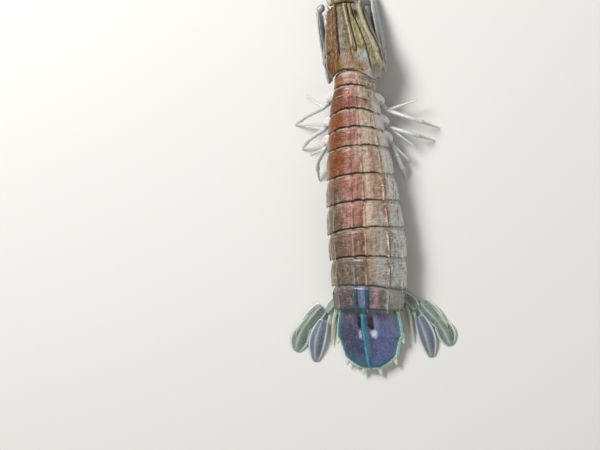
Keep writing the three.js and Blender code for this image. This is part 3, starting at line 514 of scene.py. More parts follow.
def back_finish():
    """Zones are masks of the angle round the body, in degrees from the crown and shifted by noise;
    their strength follows u, the distance behind the carapace."""
    f = Finish("back_shell")
    u, rim, ridge, face, dark = (f.mark(name) for name in ("along", "rim", "ridge", "face", "dark"))
    wander = f.cloud(3.2, (1, 2.2, 1))
    around = f.mark("round") * 90
    angle = around + wander * 17
    streak, smear = f.cloud(0.8, (1, 5, 1)), f.cloud(1.3, (1.6, 0.5, 1))
    blotch, grain = f.cloud(2.2), f.cloud(0.42)
    neck = u.rise(5.4, 4.8)
    grey, hind = (u + wander * 10).rise(37, 46), u.rise(56, 64)
    fifth, last = u.rise(70, 73), u.rise(81.2, 82.4)
    sixth, fire, flank = u - 5.3, angle.rise(-14, -28) * (1 - grey), angle.rise(30, 44) * (1 - last)
    behind_rim = rim + grain * 0.5
    first_keel = (around.size() - KEELS[0]).size()
    colour = f.layers(
        ROSE,
        # the crown and the tail end
        (angle.band(-10, 20) * (1 - hind) * 0.45, "b58079"),
        (angle.band(8, 14) * 0.45, "a87f5c"),
        (hind * 0.85, "786351"),
        (fifth * 0.7, "6b6a5d"),
        # orange brown on the left
        (angle.rise(-12, -31) * (1 - grey), ORANGE),
        (angle.rise(-14, -31) * (1 - grey) * blotch.rise(0.0, 0.35) * 0.6, "a5652a"),
        (angle.rise(-20, -34) * grey * 0.9, "65543f"),
        (angle.rise(-50, -66) * 0.6, "7d7068"),
        # cream, ochre and grey right of the crown, lilac white at the edge; the cream nearest the crown is
        # partly a painted highlight
        # painted highlight in part: the cream band beside the crown is the shell's pale zone brightened as if
        # lit from the right
        (angle.band(18, 14) * (1 - hind * 0.6), CREAM),
        (angle.band(38, 13) * (1 - grey * 0.6), OCHRE),
        (angle.band(32, 16) * u.rise(44, 60) * 0.85, GREY),
        # the same cream, partly a painted highlight, reaches further out on the thorax
        (angle.band(31, 13) * u.rise(9, 14) * u.rise(30, 26) * 0.75, "e6d0b4"),
        (angle.band(4.5, 5) * u.rise(46, 52) * 0.8, "7c4633"),
        (angle.band(11, 5) * u.rise(46, 52) * 0.7, "bd9468"),
        (angle.rise(46, 60), LILAC),
        (angle.rise(48, 60) * u.rise(26, 34) * 0.7, "eee6da"),
        (angle.rise(46, 60) * u.rise(46, 60) * 0.8, "b6c0be"),
        (angle.rise(70, 80) * u.rise(38, 50) * 0.9, "d3e2de"),
        (angle.rise(58, 66) * wander.rise(-0.1, 0.2) * 0.5, "e2dcd8"),
        # the neck, in front of the first whole shell, and the last shell
        (neck * angle.band(-8, 42), "b58a80"),
        (neck * angle.rise(26, 40), "9a8f66"),
        (neck * (u - 1.2).band(0, 0.55) * 0.7, "d6c2b2"),
        (neck * (u - 3.4).band(0, 0.5) * 0.8, "d8c6b6"),
        (last, "655a60"),
        (last * angle.band(0, 9), "7690bc"),
        (last * angle.band(24, 15) * 0.9, "b8929a"),
        (last * angle.rise(34, 46) * 0.9, "b4b3ae"),
        # streaks and blotches over all zones, and patches of painted sheen over the crown and right of it
        (streak.rise(0.02, 0.4) * 0.34, CREAM),
        (streak.rise(-0.02, -0.35) * 0.5, UMBER),
        (smear.rise(0.1, 0.45) * 0.3, "cbb5a4"),
        # painted sheen: whitish streaks right of the crown, on the thorax and the first abdominal shell
        (angle.band(26, 16) * u.rise(36, 30) * u.rise(5, 14) * streak.rise(-0.2, 0.3) * 0.6, "e6d6c4"),
        # painted sheen: a pinkish white wash over the crown, where the wet shell shines
        (angle.band(4, 12) * wander.rise(0.0, 0.35) * (1 - grey) * 0.5, "dcc4ba"),
        (smear.rise(-0.1, -0.4) * 0.4, "6d4436"),
        (angle.rise(-11, -30) * (1 - grey) * 0.7, "7b3f08"),
        (angle.rise(-14, -26) * blotch.rise(-0.05, -0.35) * (1 - grey) * 0.5, "a86a34"),
        (u.rise(15, 9) * u.rise(4.5, 6) * angle.rise(-16, -32) * 0.8, "562c08"),
        (smear.rise(0.0, 0.3) * angle.band(-8, 16) * (1 - grey) * 0.5, "b06a3c"),
        (blotch.rise(0.05, 0.4) * 0.4, "4f3d30"),
        (angle.rise(-60, -76) * (1 - last) * 0.75, "b0a093"),
        (angle.rise(-60, -76) * streak.rise(0.0, 0.3) * 0.4, "8a6a58"),
        # keels: cream, and teal on the last shell
        (ridge.rise(0.5, 1.0) * u.rise(40, 60) * 0.45, CREAM),
        (last * first_keel.rise(4.4, 2.6) * face.rise(1.0, 2.0) * 0.95, TEAL),
        (last * first_keel.rise(1.2, 0.2) * blotch.rise(-0.1, 0.3) * 0.5, "5fa0a4"),
        # the cross bands of the sixth ring of the thorax
        (sixth.rise(4.0, 4.6) * sixth.rise(8.2, 7.4) * angle.size().rise(62, 46) * 0.5, "7c3a22"),
        (sixth.band(4.6, 0.35) * angle.size().rise(60, 40) * 0.85, "52231a"),
        (sixth.band(3.8, 0.35) * angle.size().rise(60, 40) * 0.6, "d9c2b2"),
        (sixth.band(2.4, 1.5) * angle.band(-6, 20) * 0.5, "bd8c84"),
        (sixth.band(2.6, 1.5) * angle.band(26, 11) * 0.9, "c3c8c6"),
        # the right flank: dark streaks and blotches, pale smears that are partly painted glints, and painted
        # light on its front part
        (flank * streak.rise(0.0, -0.3) * 0.55, "6f6056"),
        (flank * blotch.rise(-0.05, -0.35) * 0.5, "857a74"),
        # partly painted glints: pale smears on the right flank
        (flank * smear.rise(0.0, 0.3) * 0.65, "f1ece2"),
        (flank * f.cloud(0.7, (1, 6, 1)).rise(0.05, 0.3) * 0.5, "f4f1ea"),
        # painted light: the right flank of the thorax and first abdominal shells made paler, as if it were
        # lit
        (angle.rise(38, 50) * u.rise(8, 11) * u.rise(44, 30) * 0.5, "f6f0e8"),
        (angle.band(49, 9) * u.rise(22, 28) * u.rise(48, 38) * smear.rise(-0.35, 0.05) * 0.6, "9c7038"),
        # dark marks, the facet in front, and the lines and the lip at the hind margin; the dark line there is
        # partly pigment and partly painted shade of the gap at the joint
        (dark * (0.8 + wander), "2f201b"),
        (f.dots(1.7, 0.2) * 0.5, "2e1d16"),
        (face.rise(1.15, 0.55) * 0.75, "cdbba0"),
        # partly painted shade: the dark line at the hind margin, where the next shell slides under
        ((behind_rim + wander * 0.8 + angle.rise(-10, 50) * 0.3).rise(0.95, 0.5)
         * angle.size().rise(58, 46) * (1 - last), DARK),
        # partly painted shade: a grey darkening of the hind margin on the flanks
        (behind_rim.rise(0.7, 0.3) * angle.size().rise(44, 58) * 0.5, "4a443f"),
        ((rim + grain * 0.4).rise(1.3, 0.4) * u.rise(79.5, 80.5) * 0.8, "1f5560"),
        (behind_rim.rise(2.0, 0.4) * u.rise(79.5, 80.5) * around.size().rise(40, 62) * 0.7, "7c8650"),
    )
    pits = f.dots(0.62, 0.16)
    normal = f.relief((1 - pits, 0.05), (streak, 0.10), (grain, 0.07), (smear, 0.2), (blotch, 0.4))
    return f.surface(Base_Color=colour, Roughness=grain * 0.16 + 0.42, Normal=normal, Specular_IOR_Level=0.34,
                     Coat_Weight=0.42 - fire * 0.32 + flank * 0.2, Coat_Roughness=0.14,
                     Subsurface_Weight=0.1, Subsurface_Scale=0.002)


BACK = back_finish()
print("finish:", BACK.name, "with", len(BACK.node_tree.nodes), "nodes")

# %% [markdown]
# Each segment of thorax and abdomen is a shell over a flat belly. One could be modelled and copied ten
# times, but the real ones differ in length, bow and keels, so each is worked out at its own place on the
# body line, as two surfaces that share their columns: the arched back above and the belly below.

# %% Slabs: two surfaces that share their columns
SEGMENTS = [  # name, length, bow of the hind margin, height of the keels
    ("thorax_5", 5.0, 2.6, 0.0), ("thorax_6", 8.9, 3.4, 0.15), ("thorax_7", 6.9, 2.9, 0.25),
    ("thorax_8", 7.3, 2.3, 0.25), ("abdomen_1", 10.8, 2.0, 0.35), ("abdomen_2", 10.4, 1.9, 0.4),
    ("abdomen_3", 10.4, 1.9, 0.4), ("abdomen_4", 10.8, 1.9, 0.45), ("abdomen_5", 11.2, 1.9, 0.5),
    ("abdomen_6", 9.1, 1.2, 0.6),
]
LIP = np.radians([0, 45, 90, 135, 180])  # the steps round a rounded margin
GAP = 0.3  # mm between two pieces that move against each other on the animal
TELSON_FRONT = sum(row[1] for row in SEGMENTS)


def arch_angles(keels, count):
    """Angles from the right edge over the crown to the left edge, closer together on the keels: places
    spaced evenly in the sum of a density of 1 and a bell of 3 on each keel."""
    fine = np.linspace(-90, 90, 4001)
    density = 1 + sum(3 * (bump(fine, keel, 3) + bump(fine, -keel, 3)) for keel in keels)
    total = np.cumsum(density)
    return np.interp(np.linspace(total[0], total[-1], count), total, fine)[::-1]


def slab(top, under, marks, below=None):
    """A closed patch of two grids with the same columns: each ring runs over the top and back along
    the underside, and both ends are closed by strips between them. The underside has marks of its
    own, or else those of the top."""
    upper, lower = ({key: np.broadcast_to(value, top.shape[:2]) for key, value in face.items()}
                    for face in (marks, below or marks))
    marks = {key: np.concatenate([upper[key], lower[key][:, ::-1]], 1) for key in upper}
    whole = patch(np.concatenate([top, under[:, ::-1]], 1), marks, close=False)
    rows, columns = top.shape[0], top.shape[1] * 2
    near = np.arange(top.shape[1] - 1)
    far = columns - 1 - near
    strip = np.stack([near, near + 1, far - 1, far], -1)
    whole["quads"] = np.concatenate([whole["quads"], strip[:, ::-1], strip + (rows - 1) * columns])
    return whole


def arch_section(half, arch, angle, lift):
    """x is half plus lift, times the sine; z is arch times the cosine to the power 0.92, plus lift
    times the cosine."""
    t = np.radians(angle)
    return (half + lift) * np.sin(t), arch * np.clip(np.cos(t), 0, None) ** 0.92 + lift * np.cos(t)


def belly_height(share):
    """The belly's height at a share of the half width: flat, then falling to below the shell's edge."""
    return np.interp(np.abs(share), [0, 0.45, 0.82, 0.93], [BELLY, BELLY, 1.12, -0.1])


print("length of the ten segments:", round(TELSON_FRONT, 1), "mm")

# %% [markdown]
# In front of each shell is a facet, a step lower, that slides under the shell before it. Low keels run
# along the back, and a thin rounded lip ends the shell behind. They could be separate strips laid on the
# shell. As terms of one sum they flow into it: every term is a bell or an eased step of the place.

# %% The shell of one segment
SPOTS = (  # degrees from the crown, share of the shell's length, size in mm
    (-14, 0.60, 0.55), (5, 0.42, 0.5), (-36, 0.5, 0.7), (23, 0.72, 0.35), (9, 0.66, 0.4),
)


def dark_marks(front, length, u, angle):
    """Thin lines just outside the outer keels, from the third abdominal shell on, and a few spots on
    every abdominal shell: bells round places that shift a little from one shell to the next."""
    lines = sum(bump(angle, side * (keel + 2.2), 1.1) for keel in (45, 74) for side in (-1, 1))
    marks = lines * (0.15 + 0.75 * smoothstep(u, 44, 60)) * (1 - 0.5 * bump(angle, -50, 12))
    across = line_value(u, HALF) * np.radians(angle)
    for place, way, size in SPOTS:
        shift = 4 * math.sin(front * 1.7 + place)
        x = across - line_value(u, HALF) * math.radians(place + shift)
        y = u - front - length * (way + 0.08 * math.sin(front + place))
        marks = marks + 0.75 * np.exp(-(x / size) ** 2 - (y / (size * 1.3)) ** 2) * (front > 20)
    return np.clip(marks, 0, 1)


def segment(name, front, length, bow_front, bow, ridge):
    """Rows run from the facet to the lip, and then round the lip and a little way forward under it."""
    angle = arch_angles(KEELS, 151)[None, :]
    start, end = front + GAP / 2, front + length - GAP / 2
    rows = np.r_[np.linspace(0, 0.1, 4), np.linspace(0.115, 0.22, 8), np.linspace(0.25, 0.94, 26), 0.97, 1]
    level = np.zeros(len(rows))
    s = np.r_[rows, np.ones(len(LIP) + 1)][:, None]
    past = np.r_[level, 0.35 + 0.15 * np.sin(LIP), -0.2][:, None]
    inset = np.r_[level, 0.15 - 0.15 * np.cos(LIP), 0.42][:, None]
    wave = 1 + 0.5 * sum(bump(np.abs(angle), keel, 4) for keel in KEELS[:3])
    u = start + s * (end - start) + past * wave
    size = 0.957 + 0.038 * smoothstep(s, 0.11, 0.2) + 0.006 * np.sin(np.pi * np.clip((s - 0.2) / 0.8, 0, 1))
    grown = smoothstep(s, 0.18, 0.5)
    keel = sum(bump(np.abs(angle), place, 1.7) for place in KEELS[:3]) + 0.7 * bump(np.abs(angle), 87, 2)
    swell = 0.10 * np.sin(np.pi * s * 2.2) * np.cos(np.radians(angle)) - 0.14 * bump(s, 0.27, 0.05)
    if name == "thorax_6":
        swell = swell - 0.22 * bump(u, 9.5, 0.35) - 0.12 * bump(u, 7.0, 0.4)
    lumps = 0.05 * np.sin(u * 2.1 + angle * 0.13) * np.sin(angle * 0.31 + u * 0.4)
    lift = keel * grown * (0.08 + ridge) + (swell + lumps) * grown - inset
    half, arch = line_value(u, HALF) * size, line_value(u, ARCH) * size
    x, z = arch_section(half, arch, angle, lift)
    bowed = bow_front + (bow - bow_front) * s
    top = body_point(u + bowed * (x / line_value(u, HALF)) ** 2, x, z)
    share = np.sin(np.radians(angle)) * (1 - 1 / half)
    under_u = start + s * (end - start)
    cross_rib = 0.25 * bump(s, 0.62, 0.08) * np.clip(1 - share ** 2, 0, 1)
    under = body_point(under_u + bowed * share ** 2, share * half, belly_height(share) - cross_rib)
    marks = {"along": u, "round": angle / 90, "rim": end + 0.5 * wave - u, "ridge": keel * grown,
             "face": u - start, "dark": dark_marks(front, length, u, angle) * grown}
    below = {"along": u, "round": np.sign(angle + 1e-6), "rim": 9.0, "ridge": 0.0, "face": 9.0, "dark": 0.0}
    return slab(top, under, marks, below)


print("the smallest spot fades out within", min(row[2] for row in SPOTS), "mm")

# %% [markdown]
# Keels of the last shells end in spines, and three shells of the thorax have a blunt lobe at each side.
# They could be pulled out of the shell's own faces, but those are too few at its margin. Separate cones
# and tubes, rooted inside the shell and part of the same mesh, look grown on.

# %% Spines, lobes and the row of shells
SPINED = {"abdomen_4": (45, 74), "abdomen_5": (45, 74, 88), "abdomen_6": (9.5, 45, 74)}
LOBED = ("thorax_6", "thorax_7", "thorax_8")
BROWN_SPINES = {"abdomen_5": 2, "abdomen_6": 2}  # on the left, counted from the crown; all others are pale


def margin_spine(end, bow, angle, length):
    """The spine in which a keel ends: it starts on the keel, a little before the margin."""
    t = math.radians(angle)
    half, arch = line_value(end, HALF) + 0.25, line_value(end, ARCH) + 0.25
    back = end + bow * math.sin(t) ** 2
    x, z = half * math.sin(t), arch * math.cos(t) ** 0.92
    root, tip = body_point(back - 2.2, x * 0.985, z - 0.35), body_point(back + length, x * 1.01, z + 0.2)
    return spine(root, tip, 0.95)


def side_lobe(u, side, out):
    """The blunt lobe that turns back from the side of a thoracic shell."""
    half = line_value(u, HALF)
    path = [body_point(u - 1.6, side * (half - 2.2), 2.6),
            body_point(u + 0.4, side * (half + out * 0.7), 0.9),
            body_point(u + 2.2, side * (half + out), 0.4)]
    return tube(path, leaf(3.4, 2.6, 0.9, 0.3), taper(1.6, 0.6), cap=0.1)


def shell_extras(name, front, length, bow_front, bow):
    """The spines and lobes of a shell, left ones first, with the numbers that the finish reads: a
    negative round gives the brown of the left side, a positive one the pale colours of the right."""
    end = front + length - GAP / 2
    reach = 1.6 if name == "abdomen_6" else 1.0
    extras = []
    for side in (-1, 1):
        extras += [margin_spine(end, bow, side * angle, reach) for angle in SPINED.get(name, ())]
        if name in LOBED:
            extras.append(side_lobe(front + bow_front + length * 0.38, side, 1.4))
    tints = [-0.8 if number < BROWN_SPINES.get(name, 0) else 0.8 for number in range(len(extras))]
    return [marked(extra, along=front + length * 0.8, rim=extra["marks"]["along"] + 2, round=tint, ridge=1,
                   face=5) for extra, tint in zip(extras, tints)]


FRONTS, front, bow_front = {}, 0, 2.0
for name, length, bow, ridge in SEGMENTS:
    FRONTS[name] = (front, length)
    parts = [segment(name, front, length, bow_front, bow, ridge)]
    parts += shell_extras(name, front, length, bow_front, bow)
    piece(f"shell_{name}", parts, BACK, [name])
    front, bow_front = front + length, bow

# %% [markdown]
# The carapace is a shield over head and first thorax segments. It is one arched surface, wide behind and
# narrow in front, whose lobes reach back beside the neck. Keels and two long gastric grooves run over it,
# and a cross groove behind. They could be carved with a brush. As lines on a plan, kept in a table, they
# shape the surface and colour it from the same numbers. Its hind part is thin and stands free over the
# first ring of the thorax.

# %% Carapace: where its lines run
SHIELD_LENGTH = 25.3
LINE_AT = [0, 4, 8, 14, 20, 25]  # millimetres ahead of the hind margin
LINES = {  # how far each line lies to the right of the middle there
    "left_rim": [-9.6, -9.6, -9.2, -8.5, -7.5, -6.7], "left_keel": [-7.7, -7.7, -7.3, -6.3, -5.5, -4.9],
    "left_field": [-8.9, -8.9, -8.5, -7.8, -6.8, -6.1], "left_groove": [-3.4, -3.1, -2.9, -2.6, -2.25, -2.0],
    "keel": [2.6, 2.4, 2.0, 1.7, 1.1, 0.6], "right_groove": [3.0, 3.1, 4.3, 3.4, 2.8, 2.4],
    "right_keel": [8.3, 8.2, 7.8, 6.3, 4.6, 3.7], "right_rim": [11.6, 11.8, 11.1, 9.0, 7.5, 6.6],
}


def shield_half(y):
    """Half the width: eased from 9.4 to 11.7 near the hind margin, then narrowing to 6.3 in front."""
    front = 11.7 + (6.3 - 11.7) * np.clip((y - 5.6) / (SHIELD_LENGTH - 5.6), 0, 1) ** 1.15
    return np.where(y < 5.6, 9.4 + 2.3 * smoothstep(y, 1, 5.6), front)


def line(name, y):
    """How far sideways a line of the carapace lies at y."""
    return np.interp(y, LINE_AT, LINES[name])


def crease(x, y, name, width, shift=0.0):
    """A bell across a line that runs lengthwise."""
    return np.exp(-((x - line(name, y) - shift) / width) ** 2)


def field(x, y, left, right):
    """1 between two lines, easing to 0 at both over 0.4 mm to either side."""
    west, east = line(left, y), line(right, y)
    return smoothstep(x, west - 0.4, west + 0.4) * (1 - smoothstep(x, east - 0.4, east + 0.4))


def shield_relief(x, y):
    """Keels stand up beside the grooves, which sink; a cross groove and a few swellings lie behind."""
    fore = smoothstep(y, 5.5, 8.5)
    grooves = 0.55 * crease(x, y, "left_groove", 0.34) * smoothstep(y, 3, 6)
    grooves = grooves + 0.5 * crease(x, y, "right_groove", 0.34) * fore
    grooves = grooves + 0.3 * crease(x, y, "right_keel", 0.3) + 0.3 * crease(x, y, "left_keel", 0.3)
    keels = 0.34 * crease(x, y, "keel", 0.34, 0.55) * fore + 0.3 * crease(x, y, "right_keel", 0.4, -0.7)
    keels = keels + 0.3 * crease(x, y, "left_keel", 0.4, 0.8) + 0.4 * crease(x, y, "right_rim", 0.45, -0.5)
    keels = keels + 0.4 * crease(x, y, "left_rim", 0.45, 0.5) + 0.2 * crease(x, y, "left_groove", 0.5, -1.1)
    across = 0.3 * bump(y, 6.6 + 0.2 * np.abs(x - 1), 0.45) * bump(x, 1.5, 4.5)
    across = across + 0.35 * bump(y, 7.6 - 0.2 * (np.abs(x) - 8), 0.4) * smoothstep(np.abs(x), 4.5, 6)
    swell = 0.18 * bump(y, 3.4, 1.5) * bump(x, 0.8, 2.6) + 0.2 * bump(y, 2.4, 1.6) * bump(np.abs(x), 6.6, 1.4)
    lumps = 0.05 * np.sin(y * 1.9 + x * 0.8) * np.sin(x * 1.3 - y * 0.5)
    rim = 0.3 * bump(np.abs(x), shield_half(y) * 0.985, 0.5)
    fade = smoothstep(y, -0.2, 2.5)
    return (keels - grooves - across + swell + lumps) * fade * (1 - 0.6 * smoothstep(y, 23, 25.2)) + rim


def shield_marks(x, y):
    """Numbers that the finish reads: the dark and pale lines, and the fields between the grooves."""
    fore, wide = smoothstep(y, 5.5, 8), smoothstep(y, 1, 5)
    dark = crease(x, y, "left_groove", 0.32) * smoothstep(y, 4.5, 7)
    dark = dark + crease(x, y, "right_groove", 0.3) * fore
    dark = dark + 0.8 * crease(x, y, "right_keel", 0.26) * wide
    dark = dark + 0.75 * crease(x, y, "keel", 0.2, -0.3) * wide
    dark = dark + 0.7 * crease(x, y, "right_rim", 0.3) + 0.8 * crease(x, y, "left_rim", 0.3, -0.5)
    dark = dark + 0.6 * crease(x, y, "left_keel", 0.24) + 0.4 * crease(x, y, "left_keel", 0.2, 1.7) * fore
    dark = dark + 0.6 * bump(y, 6.8, 0.5) * bump(x, 3.4, 0.9) + 0.8 * bump(y, 1.0, 0.4) * bump(x, 4.9, 0.6)
    dark = dark + 0.7 * bump(y, 7.3, 0.5) * bump(x, -7.4, 0.7) + 0.7 * bump(y, 21, 2.0) * bump(x, 5.0, 1.2)
    pale = crease(x, y, "keel", 0.3, 0.6) * smoothstep(y, 7, 10) + crease(x, y, "right_rim", 0.5, -0.9)
    pale = pale + crease(x, y, "left_rim", 0.4, 0.4)
    pale = pale + 0.5 * crease(x, y, "right_keel", 0.35, 0.7) * (1 - wide)
    return {"dark": np.clip(dark, 0, 1), "pale": np.clip(pale, 0, 1) * smoothstep(y, 0, 3),
            "zone_left": field(x, y, "left_field", "left_groove"),
            "zone_mid": field(x, y, "left_groove", "keel") * fore,
            "zone_keel": field(x, y, "keel", "right_groove") * fore,
            "zone_right": field(x, y, "right_groove", "right_keel") * fore}


print("half the carapace's width at mid length:", np.round(shield_half(12.0), 1), "mm")

# %% [markdown]
# The real shield is one curved sheet, open below, and at its hind margin one looks under it. A thickness
# could be added to a single sheet by a modifier, but in front it has to close on the head. So it is a slab
# like the segments: its underside is the belly in front, and rises close under the sheet behind.

# %% Carapace: its surface


def shield():
    """Rows run from the front margin back, round the hind lip, and forward under it."""
    angle = arch_angles((0, 14, 21, 38, 52, 80), 221)[None, :]
    rows, level = np.linspace(0, 1, 100), np.zeros(100)
    s = np.r_[1 - rows, np.zeros(len(LIP)), 0.03, 0.1, 0.2][:, None]
    past = np.r_[level, 0.17 * np.sin(LIP), 0, 0, 0][:, None]
    inset = np.r_[level, 0.17 - 0.17 * np.cos(LIP), 0.36, 0.45, 0.5][:, None]
    y = s * SHIELD_LENGTH
    half = shield_half(y) * (1 - 0.05 * bump(s, 1.0, 0.02))
    arch = 8.5 + (6.2 - 8.5) * s ** 1.4 - 0.5 * bump(s, 1.0, 0.025)
    flat_x, flat_y = half * np.sin(np.radians(angle)), y + 0 * angle
    x, z = arch_section(half, arch, angle, shield_relief(flat_x, flat_y) - inset)
    bow = 4.2 + (1.0 - 4.2) * smoothstep(s, 0, 0.6)
    behind = 1 - smoothstep(s, 0, 0.5)

    def place(x, z, past):
        """The point in the head's frame: the rows bow back towards the sides, most at the hind margin."""
        share = np.abs(x / half)
        lobe = share ** 2.2 - 0.5 * smoothstep(share, 0.86, 1)
        return head_point(x, y - bow * lobe - behind * (1.2 + 0.2 * x) - past, z)

    share = np.sin(np.radians(angle)) * (1 - 1 / half)
    floor_z = belly_height(share)
    thin = 1 - smoothstep(s, 0.27, 0.34)
    inner = arch * np.clip(1 - share ** 2, 0, None) ** 0.46 - 0.7
    under_z = floor_z + (np.maximum(inner, floor_z) - floor_z) * thin
    marks = {"side": flat_x, "ahead": flat_y, "rim": y - past, "edge": np.abs(angle) / 90,
             **shield_marks(flat_x, flat_y)}
    return slab(place(x, z, past), place(share * half, under_z, 0), marks)


def shield_spine(side):
    """The spine at a front corner of the carapace."""
    y, half = SHIELD_LENGTH, float(shield_half(SHIELD_LENGTH))
    root, tip = head_path(side, (half - 1.2, y - 3.2, 1.2), (half + 0.5, y + 1.6, 0.9))
    return marked(spine(root, tip, 1.7), side=7 * side, ahead=24, rim=20, edge=1, pale=1)


print("points of the shield:", len(shield()["points"]))

# %% [markdown]
# The shield is olive and brown between its lines, with grey lilac patches behind. Right of the middle it
# is painted paler, partly as light falling from the right, and the dark band at its hind margin is partly
# painted shade. It could share the finish of the back, but its colours lie in fields of their own. So this
# finish reads the plan of the lines, sideways and ahead, and lays each field, patch and line at its place.

# %% Carapace: its finish


def carapace_finish():
    """Fields and lines come from the mesh's own marks; patches are masks of the place in plan."""
    f = Finish("carapace_shell")
    blotch, grain, streak, hair = f.cloud(1.7), f.cloud(0.4), f.cloud(0.6, (1, 6, 1)), f.cloud(0.3, (1, 9, 1))
    x, y = f.mark("side") + blotch * 1.1, f.mark("ahead") + f.cloud(2.2) * 1.6
    rim, edge = f.mark("rim"), f.mark("edge")
    dark, pale = f.mark("dark") + streak * 0.25, f.mark("pale")
    fore = y.rise(6.5, 9.5)

    def spot(x0, y0, wide, long):
        """1 at a place in plan, falling to 0 at a distance wide to the side and long lengthwise."""
        return x.band(x0, wide) * y.band(y0, long)

    colour = f.layers(
        "75633f",
        # the fields between the lines
        # partly painted light: right of the middle the shell is made paler, as if lit from the right
        (x.rise(1, 5) * 0.8, "b3aa8c"),
        (x.rise(-7.0, -8.8), "a39a9c"),
        (f.mark("zone_left"), "66400c"),
        (f.mark("zone_left") * streak.rise(0, 0.3) * 0.6, "8a5d20"),
        (f.mark("zone_mid") * 0.9, "5c5433"),
        (spot(-1.6, 12.6, 1.5, 6.5) * 0.9, "7d7a86"),
        (f.mark("zone_keel") * 0.9, "96795c"),
        (x.band(2.8, 0.9) * y.band(13.5, 7), "b48c88"),
        (f.mark("zone_right") * 0.9, "928d5c"),
        (spot(4.6, 20.8, 2.4, 2.8), "5f3d1c"),
        (spot(5.8, 12.0, 1.6, 5.0) * 0.8, "aaa67a"),
        # patches behind the cross groove
        ((1 - fore) * x.band(0.6, 5.0), "8f7152"),
        (spot(-1.5, 7.0, 2.3, 2.4) * 0.95, "635066"),
        (spot(5.9, 5.4, 3.4, 2.7), "aab4b8"),
        (spot(4.9, 2.3, 2.6, 2.2), "95602a"),
        (spot(7.2, 0.2, 2.6, 4.2), "c4b9c4"),
        (spot(-7.9, 2.8, 3.4, 4.4), "6b4118"),
        (spot(1.4, 0.8, 3.6, 1.8) * 0.9, "ad857c"),
        # streaks, hairlines and blotches
        (streak.rise(0.04, 0.35) * 0.35, "b9aa84"),
        (streak.rise(-0.02, -0.3) * 0.6, "453519"),
        (hair.rise(0.0, -0.25) * y.rise(1, 6) * 0.5, "3d3016"),
        (hair.rise(0.05, 0.3) * y.rise(1, 6) * 0.35, "cdbf97"),
        (blotch.rise(0.08, 0.4) * 0.35, "4c3d1e"),
        # the pale and dark lines, the edge, and the hind margin, whose dark band is partly painted shade
        # partly painted light: the pale lines are brighter right of the middle and duller left of it
        (pale.rise(0.25, 0.8) * x.rise(-3, 1) * 0.85, "c6be9e"),
        (pale.rise(0.25, 0.8) * x.rise(0, -3) * 0.8, "9c9074"),
        (dark.rise(0.2, 0.75) * 0.95, "2b2010"),
        (edge.rise(0.92, 0.99) * x.rise(0, 2) * 0.8, "cfc9b4"),
        (f.dots(1.9, 0.2) * 0.5, "2e2614"),
        # partly painted shade: the dark band at the hind margin, where the shield stands over the thorax
        ((rim + grain * 0.4 + blotch * 0.3).rise(0.8, 0.35) * x.band(-1.5, 7.5), DARK),
    )
    pits = f.dots(0.7, 0.17)
    normal = f.relief((1 - pits, 0.05), (streak, 0.16), (grain, 0.09), (blotch, 0.3))
    return f.surface(Base_Color=colour, Roughness=grain * 0.16 + 0.56, Normal=normal, Specular_IOR_Level=0.24,
                     Coat_Weight=0.16, Coat_Roughness=0.25, Subsurface_Weight=0.08, Subsurface_Scale=0.002)


CARAPACE = carapace_finish()
piece("shield", [shield(), shield_spine(-1), shield_spine(1)], CARAPACE, ["carapace"])

# %% [markdown]
# In front of the shield a small rounded plate is hinged, which covers the roots of the eyes. Below it lies
# the block of the head with the jaws, of which little is ever seen. Both could be cut from one block with
# Booleans. A flat tube with a low keel, and rings of a squared oval, give the same forms with even faces.

# %% Rostral plate and head: their shapes


def plate_keel(s, a):
    """The keel of the rostral plate: a bell of the angle round the ring, on the upper side only."""
    return 1 + 0.5 * bump(np.sin(a), 0, 0.1) * (np.cos(a) > 0) * np.sin(np.pi * np.clip(s, 0, 1))


def rostral_plate():
    """A flat oval tube with a keel; its marks take a dull and a pale colour from the shield's finish."""
    root, z = SHIELD_LENGTH + GAP, 6.2 - 0.7
    path = head_path(1, (0, root, z), (0, root + 2.6, z - 0.2), (0, root + 5.2, z - 0.5))
    made = tube(path, leaf(7.2, 6.8, 3.0, 0.25), taper(1.3, 0.8), rows=40, sides=72, cap=0.12,
                shape=plate_keel)
    along, turn = made["marks"]["along"], made["marks"]["round"] * 2 * np.pi
    return marked(made, side=-4, ahead=22, rim=20, edge=0, zone_left=0.35,
                  pale=1.6 * plate_keel(along, turn) - 1.6, dark=0.5 * bump(along, 0.9, 0.1))


def block(rows):
    """Rings of a squared oval, x to the power 0.6 of the cosine, between stations along the head: how
    far ahead each is, half its width, its lowest and its highest point."""
    rows, cap = np.asarray(rows, float), 0.08
    s = row_places(40, cap)
    share = (rows[:, 0] - rows[0, 0]) / np.ptp(rows[:, 0])
    y, half, low, high = (np.interp(s, share, rows[:, k]) for k in range(4))
    ends = round_ends(s, cap, 0.002)
    angle = np.linspace(0, 2 * np.pi, 48, endpoint=False)[None, :]
    x = (half * ends)[:, None] * squared(np.cos(angle), 0.6)
    z = ((low + high) / 2)[:, None] + ((high - low) / 2 * ends)[:, None] * squared(np.sin(angle), 0.6)
    grid = head_point(x, y[:, None], z)[:, ::-1]
    return patch(grid, {"along": s[:, None] + 0 * angle})


print("a block has", len(block([(0, 1, -1, 1), (1, 1, -1, 1)])["points"]), "points")

# %% [markdown]
# Horn of legs and head lets some light through, and it is paler than the back. Glass would look hard and
# wet all through. A pale colour with light scattered under it, a clear coat and fine specks looks alive.

# %% Limb horn, and the pieces of the head


